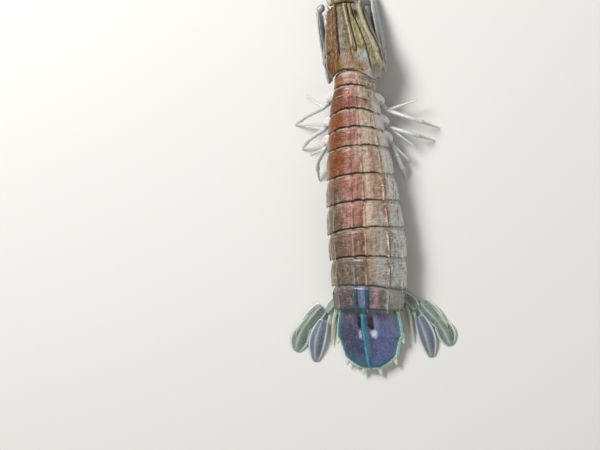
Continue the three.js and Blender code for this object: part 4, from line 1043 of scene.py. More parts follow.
def limb_finish(name, base, deep, speck):
    """Pale horn that lets light through: cloudy tints, a fine grain and specks."""
    f = Finish(name)
    cloud, grain = f.cloud(1.6), f.cloud(0.35)
    colour = f.layers(
        base,
        (cloud.rise(0.0, 0.4) * 0.6, deep),
        (grain.rise(0.05, 0.4) * 0.35, "f0efe8"),
        (f.dots(0.9, 0.09) * 0.6, speck),
    )
    normal = f.relief((cloud, 0.12), (grain, 0.05))
    return f.surface(Base_Color=colour, Roughness=grain * 0.15 + 0.33, Normal=normal, Coat_Weight=0.5,
                     Coat_Roughness=0.12, Subsurface_Weight=0.25, Subsurface_Scale=0.003)


LIMB = limb_finish("limb_horn", "cfd2cf", "aab4b8", "7d6a55")
piece("rostrum", [rostral_plate()], CARAPACE, ["rostral_plate"])
head_parts = [
    block([(0.8, 4.0, -1.6, 0.8), (6, 4.9, -2.4, 1.2), (18, 4.6, -2.4, 1.2), (24, 4.2, -2.2, 1.2)]),
    block([(22, 3.6, -2.0, 0.9), (SHIELD_LENGTH + 0.5, 3.9, -1.8, 0.9),
           (SHIELD_LENGTH + 0.6, 3.9, -1.8, 4.2), (SHIELD_LENGTH + 4.2, 2.9, -1.0, 4.0)]),
    block([(15, 1.6, -3.3, -1.6), (18, 2.2, -3.5, -1.6), (20.4, 1.4, -3.1, -1.6)]),
]
for side in (-1, 1):
    jaw = head_path(side, (3.4, 15.5, -2.0), (2.2, 13.6, -3.2), (0.4, 12.4, -3.3))
    head_parts.append(tube(jaw, leaf(2.4, 2.0, 0.9), leaf(1.6, 1.4, 0.5)))
HEAD = limb_finish("head_horn", "9b8f76", "77705d", "4c3d2a")
piece("head_block", head_parts, HEAD, ["head"])

# %% [markdown]
# Each eye is a cornea of two lobes with a waist, set across the end of a short stalk. Two balls would meet
# in a hard seam, so it is one closed surface of revolution with a narrow middle.

# %% Eyes: their shape
EYE_RADIUS, EYE_REACH = 1.85, 3.0  # mm: of a lobe, and from the waist to the end of a lobe
FACET = 0.09  # mm from one facet to the next


def eye_ball(side):
    """Rings round the lobes' own axis: the radius follows the sine, less a bell at the waist."""
    lat = np.linspace(0.02, np.pi - 0.02, 60)[:, None]
    turn = np.linspace(0, 2 * np.pi, 64, endpoint=False)[None, :]
    radius = EYE_RADIUS * np.sin(lat) ** 0.85 * (1 - 0.13 * bump(np.cos(lat), 0, 0.16))
    long = EYE_REACH * np.cos(lat)
    slant = math.radians(side * 28)
    across = np.array([math.cos(slant), math.sin(slant), 0])
    ahead = np.array([-math.sin(slant), math.cos(slant), 0])
    local = (long[..., None] * across + (radius * np.cos(turn))[..., None] * ahead * 0.95
             + (radius * np.sin(turn))[..., None] * np.array([0, 0, 1]))
    local = local + np.array([side * 3.9, SHIELD_LENGTH + 9.2, 3.5])
    grid = head_point(local[..., 0], local[..., 1], local[..., 2])
    return patch(grid, {"waist": np.cos(lat) + 0 * turn, "above": radius * np.sin(turn)})


def stalk(side):
    """The stalk widens from 2 to 3.6 mm towards the eye; a waist of 2 gives it the cream colour."""
    y = SHIELD_LENGTH
    path = head_path(side, (1.7, y + 4.9, 2.7), (2.7, y + 6.8, 3.1), (3.7, y + 8.8, 3.45))
    made = tube(path, lambda s: 2.0 + 1.6 * s ** 1.5, rows=24, sides=32, shape=knuckles([0.35], -0.1, 0.06))
    return marked(made, waist=2, above=0)


print("an eye is", 2 * EYE_REACH, "mm long and", 2 * EYE_RADIUS, "mm thick")

# %% [markdown]
# The real cornea is a net of thousands of lenses, and its colour lies deep below them. Each lens could be
# a small dome of the mesh. Cells of a noise, as colour and as relief, give the same glitter for nothing.

# %% Eyes: their finish


def eye_finish():
    """A green cornea, darker on top and along the waist, with a net of facets."""
    f = Finish("cornea")
    waist, above = f.mark("waist"), f.mark("above")
    facet = f.node("ShaderNodeTexVoronoi", {}, {"Vector": f.place, "Scale": 1 / FACET}, "Distance")
    colour = f.layers(
        "6f6f48",
        (above.rise(0.4, 1.7) * 0.7, "3f4230"),
        (waist.band(0, 0.16), "1f2416"),
        (waist.rise(1.2, 1.6), "c9bfa2"),
        (f.cloud(0.8).rise(0, 0.4) * 0.35, "8f955c"),
        (facet.rise(0.5, 0.9) * 0.4, "222a18"),
    )
    normal = f.relief((facet, -0.02))
    return f.surface(Base_Color=colour, Roughness=facet * 0.1 + 0.12, Normal=normal, Coat_Weight=0.8,
                     Coat_Roughness=0.03)


EYE = eye_finish()
for word, side in SIDES:
    piece(f"eye_{word}_cornea", [eye_ball(side), stalk(side)], EYE, [f"eye_{word}"])

# %% [markdown]
# Antennules have a stem of three joints and three ringed whips; antennae have a stout root, one whip and
# a flat oval scale. The rings could be a bump in the finish, but they show at a whip's outline, so they
# are swellings of the tube's width that repeat along it.

# %% Feelers: their shapes


def rings(count):
    """A whip's rings: the size swells by a sine that repeats count times along it."""
    return lambda s, a: 1 + 0.12 * np.sin(2 * np.pi * count * s)


def stem_joints(s):
    """The width of an antennule's stem: it narrows, and swells in three joints by a sine's size."""
    return 1.7 - 0.5 * s + 0.3 * np.abs(np.sin(s * 3 * np.pi)) ** 0.6 - 0.15


def antennule(side):
    """The stem runs straight ahead; the three whips fan out from its end, sideways and upwards."""
    y = SHIELD_LENGTH + 4.6
    stem = head_path(side, (1.5, y, 0.1), (1.9, y + 8, 0.1), (2.9, y + 19, 0.9))
    parts = [tube(stem, stem_joints, rows=60, sides=20)]
    for way in (-1, 0, 1):
        path = head_path(side, (2.9 + way * 0.25, y + 18.0, 0.85 + way * 0.1),
                         (4.6 + way * 2.0, y + 27, 2.6 + way * 1.2),
                         (7.2 + way * 4.0, y + 35.9, 3.4 + way * 2.0))
        parts.append(tube(path, taper(0.85, 0.35), rows=150, sides=10, cap=0.01, shape=rings(48), mark=1))
    return parts


def antenna(side):
    """A stout root beside the head, a stem with one joint, and one whip that turns outwards."""
    y = SHIELD_LENGTH
    root = head_path(side, (4.9, y + 1.2, -0.5), (5.6, y + 3.2, -0.4), (6.3, y + 5.2, -0.3))
    stem = head_path(side, (6.0, y + 4.0, -0.9), (6.6, y + 7.5, -2.3), (7.4, y + 13.5, -2.2))
    whip = head_path(side, (7.3, y + 12.6, -2.2), (10.5, y + 21, -1.6), (16.4, y + 32.8, 1.2))
    return [tube(root, leaf(3.0, 2.2, 2.2), cap=0.2),
            tube(stem, taper(1.8, 1.2), rows=40, shape=knuckles([0.45], 0.18, 0.05)),
            tube(whip, taper(0.95, 0.32), rows=150, sides=10, cap=0.01, shape=rings(52), mark=1)]


print("patches of an antennule:", len(antennule(1)))

# %% [markdown]
# The whips are ringed brown and cream. Every ring could have a material of its own. A sine of the place
# along the whip colours them all, and the mark kind keeps it off the stems.

# %% Feelers: their finish


def feeler_finish():
    """Cream horn with brown rings on the whips and pink tints on the stems."""
    f = Finish("feeler_horn")
    along, kind = f.mark("along"), f.mark("kind")
    ring = f.node("ShaderNodeMath", {"operation": "SINE"}, {0: along * (2 * math.pi * 24)})
    cloud, grain = f.cloud(1.2), f.cloud(0.3)
    colour = f.layers(
        "cdbfa4",
        (cloud.rise(0, 0.4) * 0.6, "b98f83"),
        (ring.rise(0.2, 0.9) * kind * 0.6, "7c5a3c"),
        (grain.rise(0.0, 0.4) * 0.4, "8a7b62"),
    )
    normal = f.relief((grain, 0.05))
    return f.surface(Base_Color=colour, Roughness=grain * 0.2 + 0.36, Normal=normal, Coat_Weight=0.4,
                     Coat_Roughness=0.15)


FEELER = feeler_finish()
for word, side in SIDES:
    piece(f"antennule_{word}_whips", antennule(side), FEELER, [f"antennule_{word}"])
    piece(f"antenna_{word}_whip", antenna(side), FEELER, [f"antenna_{word}"])

# %% [markdown]
# Thin blades are made alike: the antennal scales here, and later the tail fan's branches. Each is a flat
# tube of grey green horn with ribs, a raised edge and a fringe of fine bristles. A hair system could make
# the fringe, but it isn't mesh, so the bristles are narrow cones in one patch, rooted round the edge.

# %% Blades and their fringes


def rib(height, width=0.12):
    """A rib on both faces of a blade: a bell of the sine of the angle round the ring."""
    return lambda s, a: 1 + height * bump(np.sin(a), 0.15, width) * np.sin(np.pi * np.clip(s, 0, 1)) ** 0.5


def fringe(points, width, length, up=(0, 0, 1), count=60, span=(0.12, 0.88), thick=0.11, tip=True):
    """Bristles round a blade: at even places along both edges each points outwards and leans ahead,
    and a fan of them closes the tip, unless the blade ends in a point."""
    s = np.linspace(span[0], span[1], count)
    centre, ahead, side = path_axes(points, s, up, 300)
    roots, ways = [], []
    for way in (-1, 1):
        roots.append(centre + way * side * (width(s) / 2 - 0.12)[:, None])
        ways.append(way * side + ahead * (0.6 + 0.5 * s[:, None]))
    if tip:
        fan = np.linspace(-1, 1, max(count // 4, 5))[:, None]
        first, last = smooth_path(points, [0, 1])
        rest = (1 - span[1]) * np.linalg.norm(last - first)
        end = centre[-1] + ahead[-1] * rest * (1 - 0.55 * fan ** 2)
        roots.append(end + side[-1] * fan * float(width(span[1])) * 0.42 - ahead[-1] * 0.25)
        ways.append(ahead[-1] + side[-1] * fan * 0.7)
    return bristles(np.concatenate(roots), unit(np.concatenate(ways)), length, thick)


def bristles(roots, ways, length, thick):
    """Cones in one patch: four points round each root, four halfway and one at the tip. Their lengths
    vary by a sine, and none goes lower than 0.12 mm above the floor."""
    across = unit(np.cross(ways, [0.2, 0.1, 1.0]))
    over = np.cross(across, ways)
    turn = np.arange(4) * np.pi / 2
    ring = across[:, None] * np.cos(turn)[None, :, None] + over[:, None] * np.sin(turn)[None, :, None]
    ring = ring * thick / 2
    vary = 1 + 0.12 * np.sin(np.arange(len(roots)) * 2.4)
    lowest = (0.12 - roots[:, 2]) / (length * vary)
    ways = np.stack([ways[:, 0], ways[:, 1], np.maximum(ways[:, 2], lowest)], -1)
    tips = roots + ways * (length * vary)[:, None]
    middle = roots + ways * (length * vary * 0.55)[:, None] + ring.mean(1)
    points = np.concatenate([roots[:, None] + ring, middle[:, None] + ring * 0.7, tips[:, None]], 1)
    base = np.arange(len(roots))[:, None] * 9
    step = np.arange(4)
    after = (step + 1) % 4
    quads = np.stack([step, after, after + 4, step + 4], -1)[None] + base[..., None]
    tris = np.stack([step + 4, after + 4, np.full(4, 8)], -1)[None] + base[..., None]
    foot = np.array([[3, 2, 1, 0]])[None] + base[..., None]
    quads = np.concatenate([quads.reshape(-1, 4), foot.reshape(-1, 4)])
    return {"points": points.reshape(-1, 3), "quads": quads, "tris": tris.reshape(-1, 3),
            "marks": {"kind": np.ones(len(points) * 9)}}


def ribbed(side_ribs):
    """A blade's relief: a bell along its middle and low ribs beside it on both faces, which stand up
    from a flat part that is a third thinner than the edge."""
    def shape(s, a):
        across = np.sin(a)
        low = 0.5 + 0.5 * np.cos(across * side_ribs * 2 * np.pi)
        flat = -0.34 * (1 - bump(across, 0.12, 0.3)) * (np.abs(across) < 0.985)
        bells = 0.35 * bump(across, 0.12, 0.1) + 0.16 * low ** 4 * (np.abs(across) < 0.93)
        return 1 + flat * np.clip(1 - across ** 8, 0, 1) + bells * np.sin(np.pi * s) ** 0.5
    return shape


sample = fringe([(0, 0, 0), (0, 9, 0)], taper(2, 1), 1.0)
print("a fringe of 60 along each edge, with its tip, has", len(sample["tris"]) // 4, "bristles")

# %% [markdown]
# A blade is thin, half clear horn and shows grey, green and violet by turns. Real transparency would let
# the floor through and make noise, so clouds of colour are laid on it, and the ribs and the edge are pale.

# %% Blades: their finish, and the antennal scales


def blade_finish():
    """Grey green horn, clearer and paler to the edge, with cream ribs and white bristles; where the
    mark kind is 0.2 it is bluer."""
    f = Finish("blade_horn")
    along, kind, turn, lift = f.mark("along"), f.mark("kind"), f.mark("round"), f.mark("lift")
    edge = ((turn * 2 - 1).size() * 2 - 1).size()
    cloud, grain = f.cloud(1.6), f.cloud(0.35)
    vein = f.cloud(0.5, (3, 0.7, 1))
    colour = f.layers(
        "7f8f88",
        (kind.band(0.2, 0.1) * 0.85, "6d7894"),
        (cloud.rise(0, 0.4) * 0.7, "5b7278"),
        (cloud.rise(-0.1, -0.4) * kind.rise(0.2, 0.1) * 0.7, "a3a468"),
        (vein.rise(0.05, 0.4) * 0.5, "b0bcb8"),
        (vein.rise(-0.05, -0.4) * 0.6, "4a5b66"),
        (along.band(0.3, 0.35) * cloud.rise(0.0, -0.3) * kind.rise(0.1, 0.2) * 0.4, "8a78a6"),
        (lift.rise(-0.2, -0.05) * 0.35, "b9c2ae"),
        (lift.rise(0.05, 0.3) * 0.34, "c9d0ba"),
        (along.rise(0.75, 1.0) * 0.4, "a4b08c"),
        (edge.rise(0.26, 0.1) * 0.9, "dce8e2"),
        (grain.rise(0.1, 0.4) * 0.3, "59624c"),
        (kind.rise(0.25, 0.3) * 0.8, "cfd3b4"),
        (kind.rise(0.4, 0.6), "dcdccb"),
    )
    normal = f.relief((vein, 0.1), (grain, 0.04))
    return f.surface(Base_Color=colour, Roughness=grain * 0.15 + 0.3, Normal=normal, Coat_Weight=0.5,
                     Coat_Roughness=0.1, Subsurface_Weight=0.2, Subsurface_Scale=0.003)


BLADE = blade_finish()
for word, side in SIDES:
    y = SHIELD_LENGTH
    path = head_path(side, (6.5, y + 6.1, -0.2), (8.0, y + 14, 0.4), (9.4, y + 23, 0.6))
    wide = leaf(7.0, 1.8, 1.2)
    scale = tube(path, wide, leaf(1.0, 1.0, 0.5), rows=60, sides=96, square=1.1, shape=ribbed(5))
    piece(f"scale_{word}_blade", [scale, fringe(path, wide, 1.5)], BLADE, [f"antennal_scale_{word}"])

# %% [markdown]
# The raptorial claws are the animal's mark: a swollen arm, a broad flat hand folded back under it, and
# on the hand's upper edge a finger with six teeth. They lie along the head's sides. An armature could fold
# one straight claw, but its joints would have to be hidden, so each joint is a tube where it lies, with
# squared oval rings. Grooves are bells of the angle round it, and the hand has a comb of fine pegs.

# %% Raptorial claws: their joints
LEFT_FURTHER_OUT = 0.9  # mm: in the photograph the left claw shows beside the shield


def claw_path(side, *places):
    """Points of the head's frame as in head_path, with the left claw a little further out."""
    more = LEFT_FURTHER_OUT if side < 0 else 0
    return head_path(side, *((x + more, y, z) for x, y, z in places))


def grooved(places, depth=0.1, width=0.16):
    """Lengthwise grooves: bells of the angle round the ring, fading towards both ends."""
    def shape(s, a):
        fade = np.sin(np.pi * np.clip(s, 0, 1)) ** 0.6
        return 1 - depth * fade * sum(bump(np.angle(np.exp(1j * (a - place))), 0, width) for place in places)
    return shape


def arm(side):
    """The claw's arm, swollen at the middle, with grooves at both sides and one above."""
    path = claw_path(side, (6.9, 2.6, -3.4), (7.2, 12, -3.7), (7.9, 24.2, -2.9))
    return [tube(path, leaf(3.2, 2.2, 2.2, 0.45), leaf(6.2, 3.2, 3.4, 0.45), rows=70, sides=56, square=0.85,
                 shape=grooved([np.pi / 2, -np.pi / 2, 0.4]))]


def hand(side):
    """The hand lies back under the arm, with the wrist before it and a comb of pegs along its top."""
    path = claw_path(side, (10.6, 26.6, -3.3), (10.9, 13, -5.2), (10.9, -1.5, -6.3))
    deep = leaf(5.6, 3.6, 2.4, 0.35)
    parts = [tube(path, leaf(2.6, 1.8, 1.4, 0.35), deep, rows=90, sides=56, square=0.85,
                  shape=grooved([np.pi / 2, -np.pi / 2], 0.12, 0.22))]
    wrist = claw_path(side, (7.9, 26.9, -2.8), (9.4, 26.9, -3.0), (10.9, 26.0, -3.2))
    parts.append(tube(wrist, leaf(3.2, 2.4, 2.6), cap=0.2, shape=knuckles([0.5], -0.08, 0.08)))
    s = np.linspace(0.1, 0.93, 46)
    top = smooth_path(path, s) + np.array([0, 0, 1]) * (deep(s) / 2 - 0.1)[:, None]
    parts.append(bristles(top, np.tile([0.0, -0.35, 1.0], (len(s), 1)) / 1.06, 0.42, 0.2))
    return parts


FINGER = [(10.9, -2.6, -3.8), (10.8, 0.6, -2.4), (10.9, 9.5, -0.9), (10.8, 19, 0.0), (10.5, 24, -0.3)]
FINGER_TEETH = ((0.3, 1.1), (0.43, 1.25), (0.56, 1.4), (0.69, 1.5), (0.82, 1.5))  # along it, and length


def finger(side):
    """The finger's own tip is its sixth tooth; the other five are cones that bend down to the hand."""
    path = claw_path(side, *FINGER)
    parts = [tube(path, taper(1.5, 0.4), taper(2.0, 0.4), rows=80, sides=28, square=0.9,
                  shape=grooved([np.pi / 2, -np.pi / 2], 0.14, 0.2))]
    for s, long in FINGER_TEETH:
        base = smooth_path(path, [s])[0]
        tooth = [base, base + [0, 0.35, -0.6 * long], base + [0, 0.8, -long]]
        parts.append(tube(tooth, cone(0.12, 0.95), up=(0, 1, 0), rows=14, sides=14))
    return parts


print("teeth of a finger:", len(FINGER_TEETH) + 1)

# %% [markdown]
# The claws are harder than the legs: smoother, with pits, and yellow where the wrist bends. The yellow
# could be a ring of its own. As a mask of the place along each joint it fades into the grey.

# %% Raptorial claws: their finish


def claw_finish():
    """Grey horn that lets light through, with clouds, pits and a yellow joint at the wrist."""
    f = Finish("claw_horn")
    along, cloud, grain = f.mark("along"), f.cloud(2.2), f.cloud(0.4)
    colour = f.layers(
        "a9adab",
        (cloud.rise(0, 0.4) * 0.7, "7d868c"),
        (cloud.rise(-0.1, -0.4) * 0.5, "c9cbc4"),
        (f.cloud(1.1).rise(0.1, 0.4) * 0.4, "a596a4"),
        (f.dots(1.1, 0.14) * 0.6, "5f625e"),
        (along.rise(0.06, 0.0) * 0.5, "d3c04e"),
        (along.rise(0.96, 1.0) * 0.4, "d9a39a"),
    )
    normal = f.relief((1 - f.dots(1.1, 0.16), 0.12), (cloud, 0.15), (grain, 0.05))
    return f.surface(Base_Color=colour, Roughness=grain * 0.12 + 0.28, Normal=normal, Coat_Weight=0.6,
                     Coat_Roughness=0.08, Subsurface_Weight=0.25, Subsurface_Scale=0.003)


CLAW = claw_finish()
for word, side in SIDES:
    piece(f"claw_arm_{word}", arm(side), CLAW, [f"raptorial_merus_{word}"])
    piece(f"claw_hand_{word}", hand(side), CLAW, [f"raptorial_propodus_{word}"])
    piece(f"claw_finger_{word}", finger(side), CLAW, [f"raptorial_dactylus_{word}"])

# %% [markdown]
# Smaller limbs of the mouth lie under the head: a slender pair, and three pairs that end in a round hand
# with a short finger. One block could stand for them, as they are seen from below only. Tubes between
# points of the head's frame cost little more and show how they fold.

# %% Limbs of the mouth


def slender_mouth_limb(side):
    """The first pair: a thin limb of four joints that reaches ahead under the mouth."""
    path = head_path(side, (2.4, 17, -3.3), (3.5, 20.5, -4.6), (3.1, 26, -3.7), (2.2, 29.5, -3.2))
    return [tube(path, taper(1.35, 0.7), rows=50, sides=20, shape=knuckles([0.28, 0.6, 0.82], 0.18, 0.03))]


def handed_mouth_limb(side, y):
    """A limb that bends down and ahead from y, with a flat round palm and a finger that closes on it."""
    stem = head_path(side, (2.4, y, -3.1), (3.8, y + 2.2, -4.7), (3.0, y + 4.6, -6.3))
    palm = head_path(side, (3.2, y + 4.2, -6.1), (2.4, y + 5.0, -6.6), (1.7, y + 5.6, -6.9))
    claw = head_path(side, (2.0, y + 5.7, -6.6), (2.7, y + 6.0, -6.2), (3.2, y + 5.6, -5.9))
    return [tube(stem, taper(1.4, 1.1), rows=30, shape=knuckles([0.3, 0.7], 0.16, 0.04)),
            tube(palm, leaf(2.6, 1.2, 1.0), leaf(1.2, 0.9, 0.5), cap=0.12),
            tube(claw, taper(0.45, 0.14), rows=12, sides=10)]


print("patches of a limb with a hand:", len(handed_mouth_limb(1, 9)))

# %% [markdown]
# The three pairs of walking legs fork into a jointed leg and a thin branch. One leg could be copied six
# times, but every foot meets the floor at its own place, so a table has the points.

# %% Walking legs, and the small limbs as pieces
LEGS = {  # of each side: three points of the stem in the body's section, then knee, foot and branch's end
    1: [((4.4, 9.6, -0.1), (9.4, 13.2, -1.9), (12.8, 16.8, -1.2),
         (23.4, 20.4, 6.6), (30.6, 23.9, 0), (24.4, 12.7, 7.2)),
        ((4.6, 17.0, -0.1), (9.8, 20.4, -1.9), (12.8, 23.4, -1.3),
         (21.6, 25.8, 5.8), (28.4, 28.6, 0), (21.4, 30.2, 4.8)),
        ((4.8, 24.2, -0.1), (10.4, 27.2, -1.9), (13.8, 30.2, -1.6),
         (15.2, 36.4, 4.4), (16.0, 43.2, 0), (18.6, 35.4, 4.2))],
    -1: [((4.4, 9.6, -0.1), (9.6, 12.4, -1.9), (13.2, 14.8, -1.0),
          (21.6, 17.4, 7.6), (28.4, 20.0, 0), (20.6, 9.4, 8.4)),
         ((4.6, 17.0, -0.1), (9.8, 20.0, -1.9), (13.0, 22.6, -1.3),
          (20.8, 26.2, 6.2), (26.0, 29.6, 0), (21.6, 20.8, 6.8)),
         ((4.8, 24.2, -0.1), (10.4, 27.2, -1.9), (13.8, 30.2, -1.6),
          (18.2, 35.6, 5.0), (19.8, 42.0, 0), (20.8, 31.8, 5.4))],
}


def walking_leg(side, row):
    """A stem of two joints, a leg that bends at the knee and ends on the floor, and a bristled branch."""
    hip = [body_point(u, side * x, z) for x, u, z in row[:3]]
    knee, foot, end = (floor_point(u, side * x, height) for x, u, height in row[3:])
    fork = hip[1] + (hip[2] - hip[1]) * 0.8
    foot = foot + [0, 0, 0.27]  # half the foot's width, so that it touches the floor
    twig = [fork, fork + (end - fork) * 0.5 + [0, 0, 0.3], end]
    width = taper(1.4, 0.4)
    return [
        tube(hip, taper(2.2, 1.7), rows=40, shape=knuckles([0.3, 0.72], 0.14, 0.03)),
        tube([fork, knee, foot], lambda s: np.interp(s, [0, 0.35, 0.66, 0.7, 1], [1.9, 1.5, 1.6, 1.15, 0.4]),
             rows=70, shape=knuckles([0.33, 0.64, 0.7], 0.26, 0.018)),
        fringe([fork, knee, foot], lambda s: np.interp(s, [0, 0.66, 1], [1.6, 1.5, 0.5]), 0.9, count=10,
               span=(0.7, 0.93), tip=False, thick=0.08),
        tube(twig, width, taper(0.9, 0.45), rows=40, sides=16, shape=knuckles([0.5], 0.2, 0.03)),
        fringe(twig, width, 1.2, count=14, span=(0.6, 0.97), tip=False, thick=0.09),
    ]


for word, side in SIDES:
    piece(f"mouth_limb_1_{word}", slender_mouth_limb(side), LIMB, [f"maxilliped_1_{word}"])
    for number, y in ((3, 9), (4, 4), (5, -1)):
        limb = handed_mouth_limb(side, y)
        piece(f"mouth_limb_{number}_{word}", limb, LIMB, [f"maxilliped_{number}_{word}"])
    for number, row in enumerate(LEGS[side], 1):
        piece(f"leg_{number}_{word}", walking_leg(side, row), LIMB, [f"walking_leg_{number}_{word}"])

# %% [markdown]
# Under each of the first five abdominal segments hangs a pair of swimming legs: a short stem, two leaves
# that lie back, fringed with bristles, and behind the stem the gill, a tuft of soft filaments. They could
# be left out, as they are seen from below only, but a model in a case is looked at from there too. The
# tubes and fringes of the other limbs make them.

# %% Swimming legs and gills: their shapes


def swimming_leg(front, length, side):
    """The leaves reach back and down from the stem; filaments start in two rows behind it."""
    u = front + length * 0.36
    depth = body_point(u, side * 8, 0)[2] + BELLY - 1.4

    def low(share):
        """The height at a share of the way from the belly down to just above the floor."""
        return BELLY - depth * share

    stem = [body_point(u, side * 6.9, low(0) - GAP - 0.7), body_point(u, side * 6.9, low(0.18) - 0.4),
            body_point(u, side * 6.9, low(0.36))]
    parts = [tube(stem, taper(4.2, 3.6), taper(2.0, 1.6), up=(0, 1, 0), rows=20, sides=32, cap=0.2)]
    for x, out, width, long in ((8.0, 10.0, 5.0, 1), (5.8, 4.6, 4.4, 0.86)):
        path = [body_point(u + 0.5, side * x, low(0.32)),
                body_point(u + 5.25 * long, side * (x + (out - x) * 0.6), low(0.68)),
                body_point(u + 10.5 * long, side * out, low(0.94))]
        wide = leaf(width, 1.8, 1.4, 0.55)
        parts.append(tube(path, wide, taper(1.1, 0.6), up=(0, 1, 0.7), rows=34, sides=36, shape=rib(0.3)))
        parts.append(fringe(path, wide, 0.9, up=(0, 1, 0.7), count=26, span=(0.3, 0.9), tip=False,
                            thick=0.09))
    for k in range(9):
        x = 5.6 + k * 0.42
        sway = 0.5 * math.sin(k * 2.1)
        path = [body_point(u + 0.4, side * x, low(0.2 + 0.05 * (k % 2))),
                body_point(u + 3.0, side * (x + 0.2 + sway * 0.5), low(0.24 + 0.08 * (k % 3))),
                body_point(u + 5.4 + 0.5 * (k % 2), side * (x + 0.3 + sway), low(0.22 + 0.08 * (k % 3)))]
        parts.append(tube(path, taper(0.55, 0.25), rows=14, sides=8, cap=0.1, mark=1))
    return parts


print("patches of a swimming leg:", len(swimming_leg(*FRONTS["abdomen_1"], 1)))

# %% [markdown]
# The leaves are white horn, and the gills are soft and full of blood. Two materials would do. One that
# reads the mark kind, which is 1 on the filaments, keeps each leg a single mesh with a single finish.

# %% Swimming legs: their finish


def gill_finish():
    """White horn; the filaments, whose mark is 1, are pinkish brown and softer."""
    f = Finish("swimmer_horn")
    kind, cloud, grain = f.mark("kind"), f.cloud(1.2), f.cloud(0.3)
    colour = f.layers(
        "d2d3cc",
        (cloud.rise(0, 0.4) * 0.5, "aab2b4"),
        (kind.rise(0.4, 0.6) * 0.7, "c7a79a"),
        (grain.rise(0.1, 0.4) * 0.3, "8f8a7c"),
    )
    normal = f.relief((cloud, 0.1), (grain, 0.05))
    return f.surface(Base_Color=colour, Roughness=grain * 0.15 + 0.36, Normal=normal, Coat_Weight=0.4,
                     Coat_Roughness=0.15, Subsurface_Weight=0.3, Subsurface_Scale=0.002)


SWIMMER = gill_finish()
for number in range(1, 6):
    for word, side in SIDES:
        leg = swimming_leg(*FRONTS[f"abdomen_{number}"], side)
        piece(f"swimmer_{number}_{word}", leg, SWIMMER, [f"pleopod_{number}_{word}"])

# %% [markdown]
# The telson is the plate of the tail fan: arched, rounded, with a tall keel near its middle, curved rows
# of pits beside it and a raised rim. It could be cut from a sheet and bent. A slab over an outline from a
# table keeps its rim even, and gives each point its distance from the margin, which the finish needs for
# the light and the teal lines there.

# %% Telson: its plate
PLATE_LENGTH = 24.4
PLATE_END = 0.992  # share of the length that the plate takes up; spines reach further
PLATE_OUTLINE = np.array([  # share of the length, and half the width there
    [0, 12.1], [0.1, 12.6], [0.25, 13.2], [0.4, 13.55], [0.475, 13.75], [0.505, 13.0], [0.57, 12.35],
    [0.66, 11.7], [0.72, 11.25], [0.775, 11.05], [0.81, 10.3], [0.85, 9.3], [0.91, 7.3], [0.95, 5.6],
    [0.975, 4.5], [0.99, 4.0],
])


def plate_half(s):
    """Half the width: nearly full from the front, then straight runs that step in behind each tooth."""
    return np.interp(s, PLATE_OUTLINE[:, 0], PLATE_OUTLINE[:, 1])


def beside_keel(share, s):
    """The share of the half width counted from the keel, which starts a little left of the middle."""
    return share + 0.08 * (1 - s)


def plate_relief(share, s):
    """A keel near the middle line, rows of pits on curves beside it, and a rim along the margin."""
    fade = smoothstep(s, 0.02, 0.12) * (1 - smoothstep(s, 0.95, 0.99))
    bend = beside_keel(share, s) - 0.02 * np.sin(s * 3)
    keel = (1.0 + 0.2 * np.sin(s * 8)) * np.exp(-(bend / (0.065 + 0.02 * s)) ** 2) * smoothstep(s, 0.01, 0.1)
    keel = keel * (1 - smoothstep(s, 0.84, 0.95))
    rows = 0
    for k in range(5):
        line = np.abs(share) - 0.14 * (k + 1) * (1 - 0.45 * s ** 2)
        rows = rows + np.exp(-(line / 0.016) ** 2) * (0.5 + 0.5 * np.sin(s * 95 + k * 2))
    rim = 0.35 * np.exp(-((np.abs(share) - 0.95) / 0.03) ** 2)
    second = 0.16 * np.exp(-((np.abs(share) - 0.80) / 0.03) ** 2) * smoothstep(s, 0.2, 0.5)
    dimple = -0.3 * np.exp(-(((np.abs(share) - 0.17) / 0.08) ** 2 + ((s - 0.17) / 0.05) ** 2))
    return (keel - 0.12 * rows + rim + second + dimple) * fade


def margin_distance(x, u):
    """The distance in the plate's plane from each point to the nearest of some points along the side
    and hind margins."""
    s = np.linspace(0, PLATE_END, 120)
    behind = np.linspace(plate_half(PLATE_END), 0, 12)
    line_x = np.r_[plate_half(s), behind]
    line_u = np.r_[s, np.full(len(behind), PLATE_END)] * PLATE_LENGTH
    return np.hypot(np.abs(x)[..., None] - line_x, u[..., None] - line_u).min(-1)


def plate():
    """An arch whose height falls from 5.8 to 2.2, over an underside about 1 mm below the margin."""
    angle = arch_angles((0, 10, 30, 60, 80), 181)[None, :]
    start = TELSON_FRONT + GAP
    s = np.r_[np.linspace(0, 0.9, 110), np.linspace(0.905, PLATE_END, 20)][:, None]
    scallop = 0.2 * np.abs(np.sin(s * PLATE_LENGTH * 2.2)) * smoothstep(s, 0.82, 0.86)
    half = plate_half(s) - scallop
    share = np.sin(np.radians(angle)) + 0 * s
    arch = (5.8 + (2.2 - 5.8) * s ** 1.3) * np.sqrt(np.clip(1 - ((s - 0.9) / 0.09) ** 2 * (s > 0.9), 0.04, 1))
    t = np.radians(angle)
    z = arch * np.clip(np.cos(t), 0, None) ** 1.3 + plate_relief(share, s)
    bow = 1.2 * (1 - smoothstep(s, 0, 0.3))
    u = start + s * PLATE_LENGTH
    top = body_point(u + bow * share ** 2, half * share, z)
    low = np.interp(np.abs(share), [0, 0.5, 0.93, 1], [-0.6, -0.6, -1.0, -0.35])
    under = body_point(u + bow * share ** 2, half * share * 0.985, low)
    marks = {"side": beside_keel(share, s), "ahead": s, "ridge": plate_relief(share, s), "kind": 0.0,
             "margin": margin_distance(half * share, s * PLATE_LENGTH)}
    return slab(top, under, marks)


print("the plate is", round(2 * float(plate_half(0.475)), 1), "mm wide at its first teeth")

